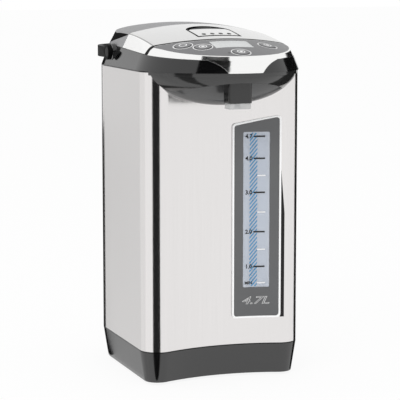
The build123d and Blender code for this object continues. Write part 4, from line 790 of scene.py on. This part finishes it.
def flat_disc(place, radius, sides, inset):
    """Flat disc lying level, with an inset ring; its inner face stays selected in edit mode."""
    bpy.ops.object.select_all(action="DESELECT")
    bpy.ops.mesh.primitive_circle_add(vertices=sides, radius=radius, fill_type="NGON", location=place)
    piece = bpy.context.view_layer.objects.active
    settle(piece)
    bpy.ops.object.mode_set(mode="EDIT")
    bpy.ops.mesh.select_all(action="SELECT")
    bpy.ops.mesh.inset(thickness=inset)
    return piece


def flat_ring(place, radius, width, sides=32):
    """Flat ring lying level: a disc whose middle is taken out."""
    piece = flat_disc(place, radius, sides, width)
    bpy.ops.mesh.delete(type="FACE")
    bpy.ops.object.mode_set(mode="OBJECT")
    return piece


def flat_dot(place, radius, sides=20):
    """Flat dot lying level, its middle cut into wedges so that it follows the dome."""
    piece = flat_disc(place, radius, sides, radius * DOT_INSET)
    bpy.ops.mesh.poke()
    bpy.ops.object.mode_set(mode="OBJECT")
    return piece


def finish_piece(piece, body, finish):
    """Give a new piece its finish and the body that carries it."""
    piece.data.materials.clear()
    piece.data.materials.append(finish)
    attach(piece, body)


class AIRPOT_OT_stage(bpy.types.Operator):
    """Camera, floor, cards and light"""

    bl_idname = "airpot.stage"
    bl_label = "Stage"

    def execute(self, context):
        studio = context.scene.airpot_studio
        context.scene.view_settings.view_transform = "Standard"
        camera = bpy.data.objects.new("camera", bpy.data.cameras.new("camera"))
        context.scene.collection.objects.link(camera)
        camera.data.lens = studio.lens
        camera.data.sensor_width = 36.0
        camera.data.clip_end = 100.0
        camera.location = studio.camera_place
        camera.rotation_euler = (math.radians(90) - studio.camera_dip, 0.0, -studio.camera_turn)
        context.scene.camera = camera
        self.light_room(context, studio)
        self.lay_floor(studio)
        self.hang_cards(studio)
        return {"FINISHED"}

    def light_room(self, context, studio):
        """Even light from all sides, white to the camera and in reflections, and one soft lamp."""
        world = context.scene.world or bpy.data.worlds.new("studio")
        context.scene.world = world
        world.use_nodes = True
        world.node_tree.nodes.clear()
        wire = Wire(world.node_tree)
        strength = studio.fill + shown_share(wire) * (1.0 - studio.fill)
        light = wire.node("ShaderNodeBackground", None, {"Color": WHITE, "Strength": strength})
        wire.node("ShaderNodeOutputWorld", None, {"Surface": light})
        lamp = bpy.data.lights.new("key", "AREA")
        lamp.energy = studio.key_power
        lamp.size = studio.key_size
        key = bpy.data.objects.new("key", lamp)
        context.scene.collection.objects.link(key)
        key.location = studio.key_place
        aim = Vector(studio.key_aim) - key.location
        key.rotation_euler = aim.to_track_quat("-Z", "Y").to_euler()
        key.visible_glossy = False

    def lay_floor(self, studio):
        """Pale floor, white to the camera, that keeps a soft shadow."""
        bpy.ops.object.select_all(action="DESELECT")
        bpy.ops.mesh.primitive_plane_add(size=studio.floor_size)
        floor = bpy.context.view_layer.objects.active
        floor.name = "floor"
        finish, wire = start_finish("floor_white")
        colour = tint(wire, grain(wire, 1.5), FLOOR_DARK, FLOOR_PALE)
        paint = wire.node("ShaderNodeBsdfDiffuse", None, {"Color": colour})
        glow = wire.node("ShaderNodeEmission", None, {"Color": WHITE, "Strength": 1.0})
        share = shown_share(wire) * FLOOR_GLOW
        mixed = wire.node("ShaderNodeMixShader", None, {0: share, 1: paint, 2: glow})
        wire.node("ShaderNodeOutputMaterial", None, {"Surface": mixed})
        floor.data.materials.append(finish)

    def hang_cards(self, studio):
        """Cards that only reflections see: dark ones in front, right and back left, pale ones at the left."""
        front_left = Vector((-0.078, -0.073, 0.0008))
        front_right = Vector((0.084, -0.066, 0.0008))
        back_left = Vector((-0.09, 0.07, 0.0008))
        left_side = Vector((-0.09, -0.06, 0.0004))
        nose = Vector((-0.03, -0.125, 0.352))
        far = studio.card_distance
        close = 0.006
        dark = 0.012
        self.hang_card("card_corner", front_left, (-50.0, 3.0), near=0.004, far=0.06, rise=0.343, tone=0.02)
        self.hang_card("card_nose", nose, (-58.0, 4.0), near=0.119, far=0.12, rise=0.125, tone=dark)
        self.hang_card("card_right", front_right, (97.0, 142.0), near=close, far=far, rise=1.2, tone=dark)
        self.hang_card("card_edge", back_left, (165.0, 194.0), near=close, far=far, rise=0.9, tone=dark)
        self.hang_card("card_back", left_side, (180.0, 215.0), near=close, far=far, rise=0.3, tone=0.76)
        self.hang_card("card_side", left_side, (215.0, 262.0), near=close, far=far, rise=0.3, tone=0.88)

    def hang_card(self, name, foot, angles, near, far, rise, tone):
        """One card: a level fan between two distances from a point, turned up at its far end."""
        first, last = angles
        bpy.ops.object.select_all(action="DESELECT")
        bpy.ops.mesh.primitive_circle_add(vertices=CARD_SIDES, radius=near, location=foot)
        card = bpy.context.view_layer.objects.active
        card.name = name
        bpy.ops.object.mode_set(mode="EDIT")
        bpy.ops.mesh.select_all(action="DESELECT")
        bpy.ops.object.mode_set(mode="OBJECT")
        for vertex in card.data.vertices:
            turn = math.degrees(math.atan2(vertex.co.x, -vertex.co.y))
            vertex.select = (turn - first) % 360.0 > last - first
        bpy.ops.object.mode_set(mode="EDIT")
        bpy.ops.mesh.select_mode(type="VERT")
        bpy.ops.mesh.delete(type="VERT")
        bpy.ops.mesh.select_all(action="SELECT")
        bpy.ops.mesh.extrude_region_move(TRANSFORM_OT_translate={"value": (0, 0, 0)})
        spread = far / near
        bpy.ops.transform.resize(value=(spread, spread, 1.0), center_override=foot)
        bpy.ops.mesh.extrude_region_move(TRANSFORM_OT_translate={"value": (0, 0, rise)})
        bpy.ops.object.mode_set(mode="OBJECT")
        settle(card)
        finish, wire = start_finish(name + "_paint")
        glow = wire.node("ShaderNodeEmission", None, {"Color": grey(tone), "Strength": 1.0})
        wire.node("ShaderNodeOutputMaterial", None, {"Surface": glow})
        card.data.materials.append(finish)
        card.visible_camera = False
        card.visible_diffuse = False
        card.visible_shadow = False
        card.visible_transmission = False


class AIRPOT_OT_casing(bpy.types.Operator):
    """Steel casing and the base under it"""

    bl_idname = "airpot.casing"
    bl_label = "Casing and base"

    def execute(self, context):
        colours = context.scene.airpot_colours
        upright = (900.0, 900.0, 9.0)
        dress(steel_finish("brushed_steel", colours.steel, 0.15, upright, casing_painted_shade), "outer_casing")
        dress(plastic_finish("base_black", colours.black, 0.16, relief=0.02, index=1.8), "base_skirt")
        dress(plastic_finish("plate_black", colours.underside, 0.5, relief=0.12), "base_plate")
        dress(rubber_finish("foot_rubber", colours.rubber, 0.8), "rubber_feet")
        return {"FINISHED"}


class AIRPOT_OT_collar(bpy.types.Operator):
    """Collar, spout hood, bowl and nozzle"""

    bl_idname = "airpot.collar"
    bl_label = "Collar and spout"

    def execute(self, context):
        colours = context.scene.airpot_colours
        self.gloss("collar_black", colours.black, 0.1, 1.65, "collar")
        self.gloss("hood_black", colours.hood, 0.14, 1.65, "spout_hood")
        self.gloss("bowl_black", colours.bowl, 0.16, 1.65, "spout_bowl")
        self.gloss("nozzle_black", colours.nozzle, 0.1, 1.6, "nozzle_cover")
        dress(clear_finish("tip_clear", colours.tip, 0.5, 0.12), "nozzle_tip")
        silicone = rubber_finish("hose_silicone", colours.hose, 0.5)
        dress(silicone, "spout_pipe", "inlet_hose", "riser_hose")
        return {"FINISHED"}

    def gloss(self, name, colour, rough, index, node):
        """Smooth glossy plastic on one solid."""
        dress(plastic_finish(name, colour, rough, relief=0.01, rounding=0.0004, index=index), node)


class AIRPOT_OT_gauge(bpy.types.Operator):
    """Water gauge with its numbers, lines and litre figure"""

    bl_idname = "airpot.gauge"
    bl_label = "Water gauge"

    def execute(self, context):
        colours = context.scene.airpot_colours
        prints = context.scene.airpot_prints
        dress(frame_finish("gauge_white"), "gauge_frame")
        dress(plastic_finish("gauge_grey", colours.gauge, 0.3, relief=0.03, rounding=0.0004), "gauge_panel")
        dress(clear_finish("window_clear", colours.window, 0.48, 0.06), "gauge_window")
        plate = plastic_finish("gauge_plate", colours.plate, 0.4, relief=0.03, rounding=0.0, spread=0.05)
        dress(plate, "gauge_scale")
        dress(plastic_finish("gauge_well", colours.plate, 0.45, relief=0.05), "gauge_housing")
        dress(clear_finish("tube_clear", colours.tube, 0.08, 0.05), "sight_tube")
        self.print_stripes(colours, prints)
        self.print_numbers(prints)
        self.print_half_lines(prints)
        self.print_litres(prints)
        return {"FINISHED"}

    def on_window(self, offset, height):
        """A place before the window, at an offset from its left edge."""
        return (WINDOW_LOW.x + offset, WINDOW_LOW.y - PRINT_START, height)

    def print_stripes(self, colours, prints):
        """Strip of slanted stripes down the window, before the sight tube."""
        place = self.on_window(STRIP_OFFSET, (WINDOW_LOW.z + WINDOW_HIGH.z) / 2)
        strip = upright_bar(place, prints.strip_width, WINDOW_HIGH.z - WINDOW_LOW.z - STRIP_MARGIN)
        strip.name = "gauge_stripes"
        lay_on(strip, "gauge_window", "Y", STRIPE_LIFT)
        blue = stripe_finish("stripe_blue", colours.stripe, prints.stripe_pitch, prints.stripe_height)
        finish_piece(strip, "pot", blue)

    def print_numbers(self, prints):
        """Black numbers with their lines, and the smaller word for the lowest level."""
        size, weight = prints.number_size, prints.number_weight
        black = []
        for text, drop in NUMBER_DROPS.items():
            height = COLLAR_Z - drop
            black.append(words(text, self.on_window(NUMBER_OFFSET, height), size, weight=weight))
            line = self.on_window(LINE_OFFSET, height)
            black.append(upright_bar(line, prints.mark_width, prints.mark_height))
        lowest = self.on_window(NUMBER_OFFSET, COLLAR_Z - LOWEST_DROP)
        black.append(words("MIN", lowest, size * LOWEST_SHARE, weight=weight * LOWEST_SHARE))
        piece = join(black, "gauge_numbers")
        lay_on(piece, "gauge_window", "Y", PRINT_LIFT)
        finish_piece(piece, "pot", ink_finish("ink_black", 0.012))

    def print_half_lines(self, prints):
        """Shorter white lines at the half litres and the lowest level."""
        width, height = prints.mark_width * HALF_LINE_LENGTH, prints.mark_height * HALF_LINE_HEIGHT
        places = [self.on_window(HALF_LINE_OFFSET, COLLAR_Z - drop) for drop in HALF_LINE_DROPS]
        piece = join([upright_bar(place, width, height) for place in places], "gauge_half_lines")
        lay_on(piece, "gauge_window", "Y", PRINT_LIFT)
        finish_piece(piece, "pot", ink_finish("ink_white", 0.82))

    def print_litres(self, prints):
        """Outlined litre figure under the window."""
        height = (PANEL_LOW.z + WINDOW_LOW.z) / 2 + LITRE_SHIFT
        place = (WINDOW_X - LITRE_SHIFT, PANEL_LOW.y - PRINT_START, height)
        style = {"lean": LITRE_LEAN, "outline": prints.litre_outline, "squash": LITRE_SQUASH}
        figure = words("4.7L", place, prints.litre_size, **style)
        figure.name = "gauge_litres"
        lay_on(figure, "gauge_panel", "Y", PRINT_LIFT)
        finish_piece(figure, "pot", ink_finish("ink_pale", 0.7))


class AIRPOT_OT_lid(bpy.types.Operator):
    """Lid shell, silver trim and release lever with its dots"""

    bl_idname = "airpot.lid"
    bl_label = "Lid"

    def execute(self, context):
        colours = context.scene.airpot_colours
        dress(shell_finish("lid_grey", colours.lid), "lid_shell")
        dress(silver_finish("lid_silver", colours.silver, 0.2, lid_painted_shade, dome=0.75), "lid_trim")
        dress(silver_finish("lever_silver", colours.silver, 0.2, lever_painted_shade, dome=0.81), "lid_lever")
        self.print_dots(context.scene.airpot_prints)
        return {"FINISHED"}

    def print_dots(self, prints):
        """Row of dark dots in the lever's dimples."""
        middle = Vector((0.0, LEVER_LOW.y + DOT_SETBACK, LEVER_HIGH.z))
        start = -DOT_PITCH * (DOT_COUNT - 1) / 2
        shifts = [Vector((start + step * DOT_PITCH, 0.0, 0.0)) for step in range(DOT_COUNT)]
        piece = join([flat_dot(middle + shift, prints.lever_dot) for shift in shifts], "lever_dots")
        stretch(piece, DOT_STRETCH, middle)
        lay_on(piece, "lid_lever", "Z", DOT_LIFT)
        finish_piece(piece, "lever", ink_finish("dot_black", 0.006))


class AIRPOT_OT_controls(bpy.types.Operator):
    """Bezel, control panel, display and buttons with their signs"""

    bl_idname = "airpot.controls"
    bl_label = "Controls"

    def execute(self, context):
        colours = context.scene.airpot_colours
        prints = context.scene.airpot_prints
        dress(silver_finish("bezel_silver", colours.silver, 0.1, seam_painted_shade), "control_bezel")
        satin = {"spread": 0.05, "index": 1.25}
        panel = plastic_finish("panel_grey", colours.panel, 0.35, relief=0.04, rounding=0.0005, **satin)
        dress(panel, "control_panel")
        caps = plastic_finish("button_grey", colours.button, 0.35, relief=0.06, rounding=0.0008, **satin)
        dress(caps, *BUTTON_PLACES)
        dress(clear_finish("display_clear", colours.display, 0.8, 0.1), "display_window")
        dress(plastic_finish("display_back", colours.display, 0.5, relief=0.05), "display_module")
        white = ink_finish("sign_white", 0.85)
        for name in BUTTON_PLACES:
            self.print_sign(name, prints, white)
        outlines = join([self.outline(name, prints) for name in BUTTON_PLACES], "button_outlines")
        lay_on(outlines, "control_panel", "Z", PRINT_LIFT)
        finish_piece(outlines, "pot", white)
        lamp = flat_dot((*LAMP_PLACE, CONTROL_TOP), prints.lamp_radius)
        lamp.name = "ready_lamp"
        lay_on(lamp, "control_panel", "Z", DOT_LIFT)
        finish_piece(lamp, "pot", ink_finish("lamp_dark", 0.02))
        return {"FINISHED"}

    def outline(self, name, prints):
        """White oval on the panel round one button."""
        place = Vector((*BUTTON_PLACES[name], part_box(name)[1].z + 2 * PRINT_START))
        ring = flat_ring(place, prints.outline_radius, prints.outline_width, sides=64)
        stretch(ring, OUTLINE_SQUASH, place)
        return ring

    def print_sign(self, name, prints, finish):
        """A plain sign on one button: a ring, with a dot in it on all but the reboil button."""
        place = (*BUTTON_PLACES[name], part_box(name)[1].z + PRINT_START)
        parts = [flat_ring(place, prints.sign_radius, prints.sign_width)]
        if name != "button_reboil":
            parts.append(flat_dot(place, prints.sign_dot))
        piece = join(parts, name + "_sign")
        lay_on(piece, name, "Z", PRINT_LIFT)
        finish_piece(piece, name + "_cap", finish)


class AIRPOT_OT_handle(bpy.types.Operator):
    """Carrying handle with rounded edges, and its pivots"""

    bl_idname = "airpot.handle"
    bl_label = "Handle"

    def execute(self, context):
        colours = context.scene.airpot_colours
        handle = self.merged_copy("carry_handle", "handle_round")
        edge = handle.modifiers.new("edge", "BEVEL")
        edge.width = context.scene.airpot_prints.handle_round
        edge.segments = 4
        edge.limit_method = "ANGLE"
        edge.angle_limit = math.radians(40)
        edge.use_clamp_overlap = True
        bpy.ops.object.modifier_apply(modifier="edge")
        bpy.ops.object.shade_smooth_by_angle(angle=math.radians(30))
        black = plastic_finish("handle_black", colours.handle, 0.45, relief=0.02, index=1.15)
        finish_piece(handle, "handle", black)
        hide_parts("carry_handle")
        handle.visible_glossy = False
        dress(plastic_finish("pivot_black", colours.pivot, 0.4, relief=0.05, index=1.2), "handle_pivots")
        return {"FINISHED"}

    def merged_copy(self, node, name):
        """A copy of a solid as one closed mesh with plain faces, selected and active."""
        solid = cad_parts[node]
        piece = solid.copy()
        piece.data = solid.data.copy()
        piece.parent = None
        piece.matrix_world = Matrix.Identity(4)
        for key in list(piece.keys()):
            del piece[key]
        piece.name = name
        piece.data.name = name
        bpy.context.scene.collection.objects.link(piece)
        only(piece)
        bpy.ops.object.mode_set(mode="EDIT")
        bpy.ops.mesh.select_all(action="SELECT")
        bpy.ops.mesh.remove_doubles(threshold=0.00001)
        bpy.ops.mesh.dissolve_limited(angle_limit=math.radians(1.0))
        bpy.ops.mesh.customdata_custom_splitnormals_clear()
        bpy.ops.object.mode_set(mode="OBJECT")
        return piece


class AIRPOT_OT_works(bpy.types.Operator):
    """Tank, pump, boards and fasteners inside"""

    bl_idname = "airpot.works"
    bl_label = "Inner works"

    def execute(self, context):
        colours = context.scene.airpot_colours
        turned = (40.0, 40.0, 900.0)
        dress(steel_finish("tank_steel", colours.tank, 0.22, turned), "inner_tank", "lid_liner")
        bright = steel_finish("bright_steel", colours.bright, 0.18, (500.0, 500.0, 500.0))
        dress(bright, "base_screws", "hinge_pin", "lid_screws", "lever_pin", "latch_strike", "pump_motor")
        dress(steel_finish("heater_alloy", colours.alloy, 0.45, (300.0, 300.0, 300.0)), "heater")
        dress(rubber_finish("seal_silicone", colours.seal, 0.55), "tank_seal", "lid_gasket")
        white = plastic_finish("pump_white", colours.pump, 0.4, relief=0.06)
        dress(white, "pump_housing", "pump_impeller", "steam_valve")
        dress(plastic_finish("works_black", colours.works, 0.42, relief=0.08), "thermostat", "power_inlet")
        dress(board_finish("board_green"), "power_board", "control_board")
        return {"FINISHED"}


class AIRPOT_PT_panel(bpy.types.Panel):
    """Lists the airpot's operators and settings"""

    bl_idname = "AIRPOT_PT_panel"
    bl_label = "Airpot"
    bl_space_type = "VIEW_3D"
    bl_region_type = "UI"
    bl_category = "Airpot"

    def draw(self, context):
        scene = context.scene
        for step in OPERATORS:
            self.layout.operator(step.bl_idname)
        for group in (scene.airpot_studio, scene.airpot_colours, scene.airpot_prints):
            for key in group.__annotations__:
                self.layout.prop(group, key)


GROUPS = (AirpotStudio, AirpotColours, AirpotPrints)
OPERATORS = (
    AIRPOT_OT_stage, AIRPOT_OT_casing, AIRPOT_OT_collar, AIRPOT_OT_gauge, AIRPOT_OT_lid,
    AIRPOT_OT_controls, AIRPOT_OT_handle, AIRPOT_OT_works,
)


def register():
    """Make the settings, operators and panel known."""
    for kind in (*GROUPS, *OPERATORS, AIRPOT_PT_panel):
        bpy.utils.register_class(kind)
    bpy.types.Scene.airpot_studio = bpy.props.PointerProperty(type=AirpotStudio)
    bpy.types.Scene.airpot_colours = bpy.props.PointerProperty(type=AirpotColours)
    bpy.types.Scene.airpot_prints = bpy.props.PointerProperty(type=AirpotPrints)


def unregister():
    """Take them away again."""
    del bpy.types.Scene.airpot_studio
    del bpy.types.Scene.airpot_colours
    del bpy.types.Scene.airpot_prints
    for kind in (AIRPOT_PT_panel, *reversed(OPERATORS), *reversed(GROUPS)):
        bpy.utils.unregister_class(kind)


def main():
    """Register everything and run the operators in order."""
    register()
    bpy.ops.airpot.stage()
    bpy.ops.airpot.casing()
    bpy.ops.airpot.collar()
    bpy.ops.airpot.gauge()
    bpy.ops.airpot.lid()
    bpy.ops.airpot.controls()
    bpy.ops.airpot.handle()
    bpy.ops.airpot.works()


if __name__ == "__main__":
    main()
